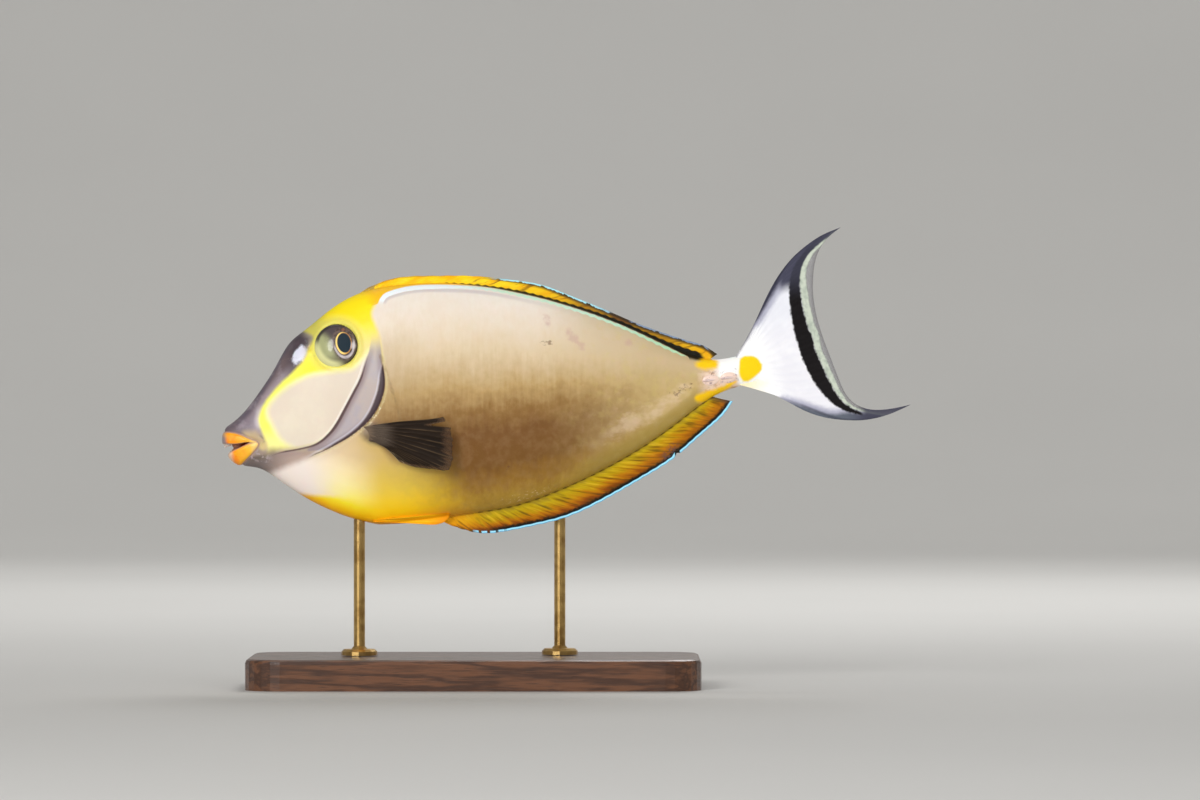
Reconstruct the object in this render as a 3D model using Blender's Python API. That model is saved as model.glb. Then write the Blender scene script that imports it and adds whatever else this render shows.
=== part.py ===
"""Elegant unicornfish, a still life-size model of a young adult on a plain display stand.

The fish is described in its own frame, in millimetres: s runs from the tip of the snout towards the tail,
h is up and y is out to its right side. An empty, fish_pose, holds that frame in the world, nose a little down.
"""

import math

import bmesh
import bpy
import numpy as np

MM = 0.001
GAP = 0.3  # clear space between pieces that touch

# Pose: the fish hangs nose down by PITCH, with its snout tip here above the floor
PITCH = math.radians(7.6)
SNOUT_X = -134.55
SNOUT_Z = 96.0

# Body outline in side view, (s, h), and half width, (s, y)
NOSE_ROUND = 2.4
BODY_END = 204.5
BACK = [(0, 3.7), (3, 5.3), (7, 7.6), (10.5, 10.3), (15, 14.7), (19.5, 19.6), (24.5, 25.7), (30, 33.0),
        (37, 38.0), (51, 46.3), (63, 50.3), (78, 51.0), (97, 48.9), (123, 42.0), (147, 31.8), (168, 20.2), (184, 9.8),
        (194, 6.0), (205, 6.2)]
BELLY = [(0, -4.8), (1.5, -6.2), (3, -8.1), (5, -9.8), (9.5, -11.5), (14, -13.2), (20, -18.2), (28, -25.3),
         (38, -32.3), (52, -39.0), (68, -41.5), (90, -41.0), (112, -39.9), (128, -36.4), (145, -31.1), (162, -24.2),
         (178, -15.9), (191, -8.8), (205, -5.6)]
WIDTH = [(0, 3.9), (6, 5.6), (14, 7.2), (26, 9.2), (40, 11.8), (55, 14.3), (72, 16.2), (92, 16.9), (112, 16.2),
         (132, 14.0), (152, 11.0), (170, 7.8), (186, 5.2), (196, 4.3), (205, 3.4)]
SECTION_FULLNESS = 0.94  # 1 is an ellipse, less is a fuller section
RING = 36  # points round the body

# Where the body is parted, in side view
GILL_OPENING = [(69.0, 60), (68.0, 50), (65.2, 41.5), (66.4, 33), (66.8, 26), (66.0, 16), (62.8, 6.6), (55.6, -1.4),
                (46.0, -5.9), (36.0, -9.3), (26.0, -12.2), (17.0, -15.8), (9.0, -22.0)]
PREOPERCLE = [(62.4, 29.5), (59.6, 22.4), (56.2, 15.6), (50.4, 7.4), (44.8, -0.4), (38.5, -5.4), (30.0, -7.4)]
GILL_COVER_SPAN = (0.22, 0.80)  # share of the gill opening's length that edges the gill cover
GILL_COVER_INNER = 6.6  # the cover's flat inner face, this far from the middle plane
STALK_START = 186.0
UPPER_LIP = [(-4, 3.4), (2, 3.1), (8, 1.5), (12.6, -0.6), (14.2, -2.0), (6, -1.75), (-4, -1.6)]
LOWER_LIP = [(-4, -4.5), (4, -3.9), (14.3, -2.6), (12.6, -5.3), (9.2, -8.0), (6.2, -10.0), (4.6, -14), (-4, -14)]
MOUTH_GAP = [(-4, -1.55), (6, -1.7), (14.9, -2.0), (14.9, -2.6), (4, -3.95), (-4, -4.55)]

# Head details
EYE_CENTRE = (49.3, 30.8)
EYE_RADIUS = 9.0
EYE_DEPTH = 4.4  # half thickness of the eyeball along its own axis
EYE_SINK = 1.8  # from the skin in to the eyeball's middle
EYE_UP_TILT = math.radians(13)
ORBIT_RIM = 0.75
NOSTRILS = [(38.2, 33.6, 0.75), (40.0, 32.3, 0.6)]  # (s, h, radius)
TEETH = 8  # in each jaw
TOOTH_WIDTH, TOOTH_THICK = 0.95, 0.6
UPPER_TEETH, LOWER_TEETH = (-0.5, -2.6), (-5.2, -3.0)  # heights of root and tip
JAW_ARCH = (5.0, 3.6, 3.4)  # middle of the tooth row along s, and its reach forward and to each side

# Fins: number of spines and rays, membrane and ray thickness
MEMBRANE = 0.6
RAY = 1.15
FIN_ROWS = 5
SPINE_NOTCH = 0.78  # how far the membrane between spines reaches up them
DORSAL_SPINES, DORSAL_RAYS = 7, 28
DORSAL_START, DORSAL_SOFT, DORSAL_END = 56.0, 98.0, 183.5
DORSAL_LEAN = (8.5, 13.0)  # how far back a ray's tip lies, first and last
DORSAL_HEIGHT = [(58, 0.3), (66, 1.3), (72, 2.4), (79, 3.0), (90, 2.9), (104, 3.5), (122, 4.4), (132, 5.0),
                 (142, 4.0), (155, 3.0), (166, 2.7), (172, 3.5), (179.5, 4.8), (187, 5.6), (191, 5.2), (193.5, 3.9),
                 (197, 1.2)]
ANAL_SPINES, ANAL_RAYS = 2, 29
ANAL_START, ANAL_END = 78.0, 190.5
ANAL_LEAN = (6.5, 9.0)
ANAL_HEIGHT = [(80, 1.0), (87, 5.0), (95, 8.2), (106, 9.2), (117, 9.9), (128, 11.3), (145, 11.5), (162, 11.5),
               (175, 11.9), (184, 11.2), (191, 10.2), (196, 8.0), (200, 4.4)]
FIN_ROOT = 2.0  # how far a fin runs into the body before it is cut back

# Tail fin in side view: the edges of the two lobes, from the stalk to the tips, and the hind edge
TAIL_ROOT_TOP, TAIL_ROOT_LOW = (204.8, 6.4), (204.8, -5.5)
TAIL_UPPER_EDGE = [TAIL_ROOT_TOP, (209.6, 14.6), (216, 23.8), (222.5, 33.2), (228.5, 40.0), (235.5, 45.0),
                   (243.0, 48.6), (250.2, 50.5)]
TAIL_LOWER_EDGE = [TAIL_ROOT_LOW, (210, -8.2), (218, -12.0), (226, -16.2), (234, -20.8), (241.5, -24.0), (250, -25.2),
                   (259.5, -24.2), (268.2, -21.6)]
TAIL_HIND_EDGE = [(250.2, 50.5), (244.0, 46.6), (239.6, 41.0), (237.0, 33.0), (236.0, 23.4), (237.0, 12.4),
                  (239.2, 2.0), (241.6, -8.0), (244.8, -16.4), (250.0, -20.6), (258.5, -22.2), (268.2, -21.6)]
TAIL_PARTS = {"upper": (0.0, 0.37, 7), "middle": (0.37, 0.73, 7), "lower": (0.73, 1.0, 5)}  # share, share, rays
TAIL_ROWS = 13
TAIL_ROOT_THICK, TAIL_EDGE_THICK = 4.2, 0.7
TAIL_ROOT_LENGTH, TAIL_HIND_LENGTH = 11.9, 95.0

# Paired fins
PECTORAL_ROOT = [(55.2, -2.8), (57.2, -8.4)]
PECTORAL_TIPS = [(87.6, -2.4), (89.0, -7.0), (89.0, -13.0), (88.0, -18.4), (86.0, -22.6), (81.0, -22.0),
                 (74.5, -19.8), (67.6, -16.6)]
PECTORAL_RAYS = 16
PECTORAL_OUT = math.radians(12)
PELVIC_ROOT = [(56.0, -38.6), (57.0, -36.8)]
PELVIC_TIPS = [(74.0, -42.6), (85.0, -40.6), (83.0, -38.9), (78.0, -37.4)]
PELVIC_OFF = 1.1  # out from the belly's skin

# Blades on the tail stalk, two on each side
BLADES = [191.9, 199.0]
BLADE_H = -0.6
BLADE_LENGTH, BLADE_RISE, BLADE_THICK = 6.4, 3.2, 1.3
PLATE_LENGTH, PLATE_HEIGHT, PLATE_RISE = 6.6, 4.2, 0.7

# Stand
BASE_LENGTH, BASE_DEPTH, BASE_HEIGHT = 176.0, 88.0, 12.0
BASE_CENTRE_X = -36.0
BASE_CORNER, BASE_BEVEL = 14.0, 1.6
ROD_RADIUS = 2.2
FOOT_RADIUS, FOOT_HEIGHT = 7.0, 2.4
FRONT_ROD = (49.0, 0.0)  # (s under the belly, y)
REAR_ROD = (128.0, 7.6)


def spline(knots, at):
    """Natural cubic spline through (x, value) knots, read at the x values given."""
    x, v = np.array(knots, float).T
    n, step = len(x), np.diff(x)
    matrix, right = np.eye(n), np.zeros(n)
    for i in range(1, n - 1):
        matrix[i, i - 1 : i + 2] = step[i - 1], 2 * (step[i - 1] + step[i]), step[i]
        right[i] = 6 * ((v[i + 1] - v[i]) / step[i] - (v[i] - v[i - 1]) / step[i - 1])
    bend = np.linalg.solve(matrix, right)
    at = np.asarray(at, float)
    i = np.clip(np.searchsorted(x, at) - 1, 0, n - 2)
    a, b, width = x[i + 1] - at, at - x[i], step[i]
    cubic = (bend[i] * a**3 + bend[i + 1] * b**3) / (6 * width)
    return cubic + (v[i] / width - bend[i] * width / 6) * a + (v[i + 1] / width - bend[i + 1] * width / 6) * b


def through(points, at):
    """Smooth curve through points in side view, read at shares of its length from 0 to 1."""
    p = np.array(points, float)
    along = np.concatenate([[0], np.cumsum(np.linalg.norm(np.diff(p, axis=0), axis=1))])
    along /= along[-1]
    return np.stack([spline(np.stack([along, p[:, k]], 1), at) for k in range(2)], axis=-1)


def outline(s, grow=0.0):
    """Middle height, half height and half width of the body at s, rounded in at the nose."""
    into = np.clip((s + grow) / (NOSE_ROUND + grow), 0, 1)
    nose = np.sqrt(1 - (1 - into) ** 2)
    top, low = spline(BACK, s), spline(BELLY, s)
    return (top + low) / 2, ((top - low) / 2 + grow) * nose, (spline(WIDTH, s) + grow) * nose


def half_width(s, h):
    """The body's half width at a point of its side view."""
    middle, half_height, width = outline(np.asarray(s, float))
    across = np.clip((h - middle) / half_height, -1, 1)
    return width * (1 - across**2) ** (SECTION_FULLNESS / 2)


def body_grid(s, turn, grow=0.0):
    """Points of the body's skin: rings at the stations s, turned from the back round the right side."""
    middle, half_height, width = (a[:, None] for a in outline(s, grow))
    h = middle + half_height * np.cos(turn)
    y = width * np.sign(np.sin(turn)) * np.abs(np.sin(turn)) ** SECTION_FULLNESS
    return np.stack(np.broadcast_arrays(s[:, None], y, h), axis=-1)


def new_object(name, points, faces, pose):
    """A mesh object from points in millimetres, held in the fish's frame or standing in the world."""
    mesh = bpy.data.meshes.new(name)
    mesh.from_pydata((np.asarray(points, float) * MM).tolist(), [], [list(map(int, f)) for f in faces])
    shape = bmesh.new()
    shape.from_mesh(mesh)
    bmesh.ops.recalc_face_normals(shape, faces=shape.faces)
    shape.to_mesh(mesh)
    shape.free()
    made = bpy.data.objects.new(name, mesh)
    bpy.context.scene.collection.objects.link(made)
    made.parent = pose
    return made


def ring_faces(rings, count):
    """Quads between closed rings of count points each."""
    i, j = np.meshgrid(np.arange(rings - 1), np.arange(count), indexing="ij")
    a, b = i * count + j, i * count + (j + 1) % count
    return np.stack([a, a + count, b + count, b], axis=-1).reshape(-1, 4).tolist()


def body(name, pose, grow=0.0):
    """The whole body from snout to stalk as one closed solid."""
    nose = NOSE_ROUND * (1 - np.cos(np.linspace(0.22, 1, 6) * math.pi / 2)) - grow
    head = np.linspace(NOSE_ROUND + 2.0, 66, 25)
    trunk = np.linspace(70.5, BODY_END + grow, 28)
    s = np.concatenate([nose, head, trunk])
    turn = np.linspace(0, 2 * math.pi, RING, endpoint=False)
    points = body_grid(s, turn, grow).reshape(-1, 3)
    tip = [(-grow, 0, outline(np.zeros(1))[0][0])]
    faces = ring_faces(len(s), RING)
    faces += [[len(points), (j + 1) % RING, j] for j in range(RING)]
    last = (len(s) - 1) * RING
    faces.append([last + j for j in range(RING)])
    return new_object(name, np.vstack([points, tip]), faces, pose)


def prism(name, pose, polygon, low=-40.0, high=40.0):
    """A side-view polygon carried across from y low to y high."""
    n = len(polygon)
    points = [(s, y, h) for y in (low, high) for s, h in polygon]
    sides = [[j, (j + 1) % n, n + (j + 1) % n, n + j] for j in range(n)]
    return new_object(name, points, [list(range(n)), list(range(n, 2 * n)), *sides], pose)


def grown(polygon, by):
    """A polygon with each edge moved out by the same amount."""
    p = np.array(polygon, float)
    edge = np.roll(p, -1, axis=0) - p
    edge /= np.linalg.norm(edge, axis=1)[:, None]
    area = np.sum(p[:, 0] * np.roll(p[:, 1], -1) - np.roll(p[:, 0], -1) * p[:, 1])
    normal = np.stack([edge[:, 1], -edge[:, 0]], 1) * math.copysign(1, area)
    before = np.roll(normal, 1, axis=0)
    corner = (normal + before) / (1 + np.sum(normal * before, axis=1))[:, None]
    return (p + by * corner).tolist()


def combine(target, other, operation, solver="EXACT"):
    """Boolean of target with other, which is removed."""
    modifier = target.modifiers.new(operation, "BOOLEAN")
    modifier.operation, modifier.object, modifier.solver = operation, other, solver
    applied(target)
    bpy.data.objects.remove(other)
    return target


def join(target, others):
    """One union of target with closed pieces, held in a collection that is then removed."""
    group = bpy.data.collections.new(target.name + "_pieces")
    for piece in others:
        group.objects.link(piece)
    modifier = target.modifiers.new("union", "BOOLEAN")
    modifier.operation, modifier.operand_type, modifier.collection = "UNION", "COLLECTION", group
    applied(target)
    for piece in others:
        bpy.data.objects.remove(piece)
    bpy.data.collections.remove(group)
    return target


def applied(target):
    """Applies the modifiers, and keeps only the largest closed surface."""
    bpy.context.view_layer.update()
    graph = bpy.context.evaluated_depsgraph_get()
    mesh = bpy.data.meshes.new_from_object(target.evaluated_get(graph))
    target.modifiers.clear()
    target.data = mesh
    shape = bmesh.new()
    shape.from_mesh(mesh)
    bmesh.ops.triangulate(shape, faces=shape.faces)
    bmesh.ops.remove_doubles(shape, verts=shape.verts, dist=1e-7)
    bmesh.ops.dissolve_degenerate(shape, edges=shape.edges, dist=1e-7)
    surfaces = separate_surfaces(shape)
    surfaces.sort(key=lambda faces: abs(enclosed(faces)))
    loose = {v for faces in surfaces[:-1] for f in faces for v in f.verts}
    bmesh.ops.delete(shape, geom=list(loose), context="VERTS")
    shape.to_mesh(mesh)
    shape.free()


def separate_surfaces(shape):
    """The mesh's faces in groups that share vertices."""
    left, groups = set(shape.faces), []
    while left:
        group, edge = set(), [left.pop()]
        while edge:
            face = edge.pop()
            group.add(face)
            near = {f for v in face.verts for f in v.link_faces} & left
            left -= near
            edge.extend(near)
        groups.append(group)
    return groups


def enclosed(faces):
    """Signed volume inside triangles."""
    return sum(f.verts[0].co.dot(f.verts[1].co.cross(f.verts[2].co)) for f in faces) / 6


def ribbed_sheet(name, pose, middle, thick):
    """A closed sheet round a grid of middle points, thick across y, split alike on both faces."""
    n, m = middle.shape[:2]
    off = np.zeros_like(middle)
    off[..., 1] = thick / 2
    points = np.concatenate([(middle + off).reshape(-1, 3), (middle - off).reshape(-1, 3)])
    faces, far = [], n * m
    for i in range(n - 1):
        for j in range(m - 1):
            a, b, c, d = i * m + j, (i + 1) * m + j, (i + 1) * m + j + 1, i * m + j + 1
            faces += [[a, b, c], [a, c, d], [far + a, far + c, far + b], [far + a, far + d, far + c]]
    rim = [i * m for i in range(n)] + [(n - 1) * m + j for j in range(1, m)]
    rim += [i * m + m - 1 for i in range(n - 2, -1, -1)] + list(range(m - 2, 0, -1))
    for a, b in zip(rim, rim[1:] + rim[:1]):
        faces += [[a, far + a, far + b], [a, far + b, b]]
    return new_object(name, points, faces, pose)


def ray_thickness(columns, rows, root):
    """Thickness over a fin's grid: rays on the odd columns, thinning from root to edge."""
    on_ray = np.arange(columns)[:, None] % 2
    down = np.linspace(0, 1, rows)[None, :]
    return MEMBRANE + on_ray * (RAY - MEMBRANE) * (1 - 0.55 * down) + (root - RAY) * (1 - down) ** 3


def seat(fin, pose):
    """Cuts a piece back to the body's skin, leaving the gap."""
    return combine(fin, body("skin_cutter", pose, GAP), "DIFFERENCE", "MANIFOLD")


def median_fin(name, pose, base, height, start, soft, end, spines, rays, lean, way):
    """Dorsal or anal fin: rays set along the body's edge, each leaning back to the free margin."""
    soft_span = np.linspace(soft, end, 2 * rays + 1)
    spine_span = np.linspace(start, soft, 2 * spines, endpoint=False)
    root_s = np.concatenate([spine_span, soft_span])
    lean_back = np.interp(root_s, [start, end], lean)
    tip_s = root_s + lean_back
    rise = np.maximum(spline(height, tip_s), 0.5)
    hook = (np.arange(len(root_s)) < 2 * spines) & (np.arange(len(root_s)) % 2 == 0)
    rise = rise * np.where(hook, SPINE_NOTCH, 1.0)
    tip_h = spline(base, np.minimum(tip_s, BODY_END)) + way * rise
    down = np.linspace(0, 1, FIN_ROWS)[None, :]
    root_h = spline(base, root_s) - way * FIN_ROOT
    curve = down**0.8
    s = root_s[:, None] + (tip_s - root_s)[:, None] * down
    h = root_h[:, None] + (tip_h - root_h)[:, None] * curve
    middle = np.stack([s, np.zeros_like(s), h], axis=-1)
    thick = ray_thickness(len(root_s), FIN_ROWS, 1.9)
    return seat(ribbed_sheet(name, pose, middle, thick), pose)


def tail_lobe(name, pose, first, last, rays):
    """A share of the tail fin: its rays run from the stalk and sweep into the nearer lobe's edge."""
    down = np.linspace(0, 1, TAIL_ROWS)
    at_root, across = (np.linspace(first + (first > 0) * clear, last - (last < 1) * clear, 2 * rays + 1)
                       for clear in (GAP / 2 / TAIL_ROOT_LENGTH, GAP / 2 / TAIL_HIND_LENGTH))
    upper, lower = through(TAIL_UPPER_EDGE, down), through(TAIL_LOWER_EDGE, down)
    hind = through(TAIL_HIND_EDGE, across)
    root = np.outer(1 - at_root, TAIL_ROOT_TOP) + np.outer(at_root, TAIL_ROOT_LOW)
    u = down[None, :, None]
    v = (1 - u) * at_root[:, None, None] + u * across[:, None, None]
    rows = (1 - v) * upper[None] + v * lower[None] + (1 - u) * root[:, None] + u * hind[:, None]
    corners = (1 - u) * ((1 - v) * upper[0] + v * lower[0]) + u * ((1 - v) * upper[-1] + v * lower[-1])
    flat = rows - corners
    middle = np.stack([flat[..., 0], np.zeros(flat.shape[:2]), flat[..., 1]], axis=-1)
    fade = (1 - down[None, :]) ** 1.6
    thick = TAIL_EDGE_THICK + (TAIL_ROOT_THICK - TAIL_EDGE_THICK) * fade
    on_ray = np.arange(len(across))[:, None] % 2
    leading = np.exp(-np.minimum(across, 1 - across)[:, None] / 0.06) * 0.9
    thick = thick + (on_ray * 0.45 + leading) * (1 - down[None, :] ** 4)
    return ribbed_sheet(name, pose, middle, thick)


def pectoral_fin(name, pose, side):
    """Fan of rays from a short fleshy root, folded back along the flank and standing off it."""
    columns = 2 * PECTORAL_RAYS + 1
    across = np.linspace(0, 1, columns)
    root = np.outer(1 - across, PECTORAL_ROOT[0]) + np.outer(across, PECTORAL_ROOT[1])
    tips = through(PECTORAL_TIPS, across)
    tips += np.where(np.arange(columns)[:, None] % 2, 0.0, -1.2) * (tips - root) / 24
    down = np.linspace(-0.12, 1, 7)[None, :, None]
    flat = root[:, None] + (tips - root)[:, None] * down
    at_root = half_width(*PECTORAL_ROOT[0])
    y = at_root + (flat[..., 0] - PECTORAL_ROOT[0][0]) * math.tan(PECTORAL_OUT)
    middle = np.stack([flat[..., 0], side * y, flat[..., 1]], axis=-1)
    thick = ray_thickness(columns, 7, 3.4)
    return seat(ribbed_sheet(name, pose, middle, thick), pose)


def pelvic_fin(name, pose, side):
    """A spine and three rays folded flat against the belly."""
    columns = 2 * len(PELVIC_TIPS) + 1
    across = np.linspace(0, 1, columns)
    root = np.outer(1 - across, PELVIC_ROOT[0]) + np.outer(across, PELVIC_ROOT[1])
    tips = through(PELVIC_TIPS, across)
    down = np.linspace(-0.1, 1, 8)[None, :, None]
    flat = root[:, None] + (tips - root)[:, None] * down
    skin = np.maximum(half_width(flat[..., 0], flat[..., 1]), 3.2)
    out = PELVIC_OFF * np.clip(down[..., 0] * 6, -1, 1)
    middle = np.stack([flat[..., 0], side * (skin + out), flat[..., 1]], axis=-1)
    thick = ray_thickness(columns, 8, 2.2)
    return seat(ribbed_sheet(name, pose, middle, thick), pose)


def eye_place(side, along=0.0):
    """Middle of the eyeball and the axis it looks along, moved out along that axis."""
    s, h = EYE_CENTRE
    axis = np.array([0, side * math.cos(EYE_UP_TILT), math.sin(EYE_UP_TILT)])
    skin = np.array([s, side * float(half_width(s, h)), h])
    return skin + axis * (along - EYE_SINK), axis


def upright(axis):
    """Two unit directions square to an axis: along the fish, and up."""
    first = np.array([1.0, 0.0, 0.0])
    return first, np.cross(axis, first)


def eyeball(name, pose, side, grow=0.0):
    """A flattened ball, round where it meets the skin."""
    centre, axis = eye_place(side)
    first, second = upright(axis)
    lat, lon = np.linspace(0, math.pi, 11)[1:-1], np.linspace(0, 2 * math.pi, 24, endpoint=False)
    a, b = np.meshgrid(lat, lon, indexing="ij")
    r, d = EYE_RADIUS + grow, EYE_DEPTH + grow
    ring = r * np.sin(a)[..., None] * (np.cos(b)[..., None] * first + np.sin(b)[..., None] * second)
    points = (centre + ring + d * np.cos(a)[..., None] * axis).reshape(-1, 3)
    poles = [centre + d * axis, centre - d * axis]
    n = len(points)
    faces = ring_faces(len(lat), len(lon))
    faces += [[n, (j + 1) % 24, j] for j in range(24)]
    faces += [[n + 1, n - 24 + j, n - 24 + (j + 1) % 24] for j in range(24)]
    return new_object(name, np.vstack([points, poles]), faces, pose)


def orbit_rim(pose, side):
    """A low ring of skin round the eye."""
    centre, axis = eye_place(side, EYE_SINK - 0.35)
    first, second = upright(axis)
    turn = np.linspace(0, 2 * math.pi, 24, endpoint=False)
    tube = np.linspace(0, 2 * math.pi, 6, endpoint=False)
    out = np.cos(turn)[:, None] * first + np.sin(turn)[:, None] * second
    r = EYE_RADIUS + 0.1 + ORBIT_RIM * np.cos(tube)
    points = centre + r[None, :, None] * out[:, None] + (ORBIT_RIM * np.sin(tube))[None, :, None] * axis
    faces = ring_faces(24, 6)
    faces += [[23 * 6 + j, j, (j + 1) % 6, 23 * 6 + (j + 1) % 6] for j in range(6)]
    return new_object("rim", points.reshape(-1, 3), faces, pose)


def cone(name, pose, foot, axis, radius, end_radius, length, sides=8):
    """A tapered round piece from foot along axis."""
    axis = np.array(axis, float) / np.linalg.norm(axis)
    first = np.cross(axis, [0.1, 0.2, 1.0])
    first /= np.linalg.norm(first)
    second = np.cross(axis, first)
    turn = np.linspace(0, 2 * math.pi, sides, endpoint=False)
    out = np.cos(turn)[:, None] * first + np.sin(turn)[:, None] * second
    points = np.vstack([foot + radius * out, foot + length * axis + end_radius * out])
    faces = ring_faces(2, sides) + [list(range(sides)), list(range(sides, 2 * sides))]
    return new_object(name, points, faces, pose)


def tooth(pose, share, heights):
    """One small flat tooth on the front of a jaw, share from -1 at the left corner to 1 at the right."""
    turn = share * math.radians(70)
    middle, forward, aside = JAW_ARCH
    s, y = middle - forward * math.cos(turn), aside * math.sin(turn)
    points = []
    for h, wide in zip(heights, (TOOTH_WIDTH / 2, TOOTH_WIDTH * 0.36)):
        for a, b in ((-1, -1), (1, -1), (1, 1), (-1, 1)):
            along, out = a * wide, b * TOOTH_THICK / 2
            points.append((s + along * math.sin(turn) - out * math.cos(turn),
                           y + along * math.cos(turn) + out * math.sin(turn), h))
    sides = [[j, (j + 1) % 4, 4 + (j + 1) % 4, 4 + j] for j in range(4)]
    return new_object("tooth", points, [[0, 1, 2, 3], [4, 5, 6, 7], *sides], pose)


def lip(name, pose, polygon, heights):
    """The front of a jaw cut from the body, with its teeth."""
    piece = combine(body(name, pose), prism("lip_cutter", pose, polygon), "INTERSECT")
    return join(piece, [tooth(pose, share, heights) for share in np.linspace(-1, 1, TEETH)])


def gill_cover_outline():
    """The crescent between the preopercle's edge and the gill opening."""
    hind = through(GILL_OPENING, np.linspace(*GILL_COVER_SPAN, 18))
    front = through(PREOPERCLE, np.linspace(0, 1, 16))
    return grown(np.vstack([front, hind[::-1]]).tolist(), -GAP / 2)


def head_outline():
    """All of the side view in front of the gill opening."""
    edge = through(GILL_OPENING, np.linspace(0, 1, 34))
    return [(-10, 60), *edge.tolist(), (-10, -22)]


def head(pose):
    """Cheeks, brow and jaws, with sockets for the eyes and beds for the lips and gill covers."""
    piece = combine(body("head", pose), prism("cut", pose, head_outline()), "INTERSECT")
    for polygon in (grown(UPPER_LIP, GAP), grown(LOWER_LIP, GAP), MOUTH_GAP):
        combine(piece, prism("cut", pose, polygon), "DIFFERENCE")
    bed = grown(gill_cover_outline(), GAP)
    for side in (-1, 1):
        ends = sorted((side * (GILL_COVER_INNER - GAP), side * 40.0))
        combine(piece, prism("cut", pose, bed, *ends), "DIFFERENCE")
    join(piece, [orbit_rim(pose, side) for side in (-1, 1)])
    for side in (-1, 1):
        combine(piece, eyeball("cut", pose, side, GAP), "DIFFERENCE")
        for s, h, radius in NOSTRILS:
            skin = np.array([s, side * float(half_width(s, h)), h])
            axis = np.array([0.15, -side, -0.35])
            combine(piece, cone("cut", pose, skin - axis, axis, radius * 1.5, radius * 0.5, 2.4), "DIFFERENCE")
    return piece


def gill_cover(name, pose, side):
    """The hard plate over the gills on one side."""
    ends = sorted((side * GILL_COVER_INNER, side * 40.0))
    return combine(body(name, pose), prism("cut", pose, gill_cover_outline(), *ends), "INTERSECT")


def trunk(pose):
    """The body from the gill opening to the tail stalk."""
    piece = combine(body("trunk", pose), prism("cut", pose, grown(head_outline(), GAP)), "DIFFERENCE")
    rear = [(STALK_START - GAP, -30), (STALK_START - GAP, 40), (230, 40), (230, -30)]
    return combine(piece, prism("cut", pose, rear), "DIFFERENCE")


def blade(pose, s, side):
    """A hooked bony blade on its oval plate, sunk into the side of the tail stalk, its point forward."""
    skin = side * float(half_width(s, BLADE_H))
    turn = np.linspace(0, 2 * math.pi, 12, endpoint=False)
    plate = []
    for share, y in ((1.0, -1.2), (1.0, PLATE_RISE * 0.5), (0.7, PLATE_RISE)):
        for a in turn:
            plate.append((s + share * PLATE_LENGTH / 2 * math.cos(a), skin + side * y,
                          BLADE_H + share * PLATE_HEIGHT / 2 * math.sin(a)))
    faces = ring_faces(3, 12) + [list(range(12)), list(range(24, 36))]
    oval = new_object("plate", plate, faces, pose)
    edge = [(-0.5, 0.0), (-0.56, 0.62), (-0.3, 0.98), (0.0, 0.92), (0.28, 0.6), (0.5, 0.0), (0.5, -0.4), (-0.5, -0.4)]
    points = []
    for way in (-1, 1):
        for along, up in edge:
            taper = BLADE_THICK / 2 * (1 - 0.75 * max(up, 0))
            points.append((s + along * BLADE_LENGTH, skin + side * (up * BLADE_RISE), BLADE_H + way * taper))
    n = len(edge)
    sides = [[j, (j + 1) % n, n + (j + 1) % n, n + j] for j in range(n)]
    hook = new_object("hook", points, [list(range(n)), list(range(n, 2 * n)), *sides], pose)
    return [oval, hook]


def tail_stalk(pose):
    """The narrow stalk before the tail fin, with its blades."""
    stalk = [(STALK_START, -30), (STALK_START, 40), (230, 40), (230, -30)]
    piece = combine(body("tail_stalk", pose), prism("cut", pose, stalk), "INTERSECT")
    return join(piece, [part for s in BLADES for side in (-1, 1) for part in blade(pose, s, side)])


def world_x(s, h):
    """Where a point of the fish's side view lies along the floor."""
    return SNOUT_X + s * math.cos(PITCH) - h * math.sin(PITCH)


def stand_rod(name, pose, place):
    """A turned rod with a round foot, its top cut to the skin that it carries."""
    s, y = place
    x = world_x(s, float(spline(BELLY, s)))
    profile = [(FOOT_RADIUS, 0), (FOOT_RADIUS, FOOT_HEIGHT * 0.6), (FOOT_RADIUS - 1.0, FOOT_HEIGHT),
               (ROD_RADIUS + 1.0, FOOT_HEIGHT), (ROD_RADIUS, FOOT_HEIGHT + 1.2), (ROD_RADIUS, 100)]
    turn = np.linspace(0, 2 * math.pi, 16, endpoint=False)
    low = BASE_HEIGHT + GAP
    points = [(x + r * math.cos(a), y + r * math.sin(a), low + z) for r, z in profile for a in turn]
    faces = ring_faces(len(profile), 16) + [list(range(16)), list(range(80, 96))]
    rod = new_object(name, points, faces, None)
    return seat(rod, pose)


def stand_base():
    """A flat plinth with round corners and a softened upper edge."""
    corner = np.linspace(0, math.pi / 2, 7)
    points = []
    for inset, z in ((0, 0), (0, BASE_HEIGHT - BASE_BEVEL), (BASE_BEVEL * 0.3, BASE_HEIGHT - BASE_BEVEL * 0.3),
                     (BASE_BEVEL, BASE_HEIGHT)):
        for quarter in range(4):
            sx, sy = ((1, 1), (-1, 1), (-1, -1), (1, -1))[quarter]
            cx = BASE_CENTRE_X + sx * (BASE_LENGTH / 2 - BASE_CORNER)
            cy = sy * (BASE_DEPTH / 2 - BASE_CORNER)
            for a in corner + quarter * math.pi / 2:
                r = BASE_CORNER - inset
                points.append((cx + r * math.cos(a), cy + r * math.sin(a), z))
    n = 28
    faces = ring_faces(4, n) + [list(range(n)), list(range(3 * n, 4 * n))]
    return new_object("stand_base", points, faces, None)


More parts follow.
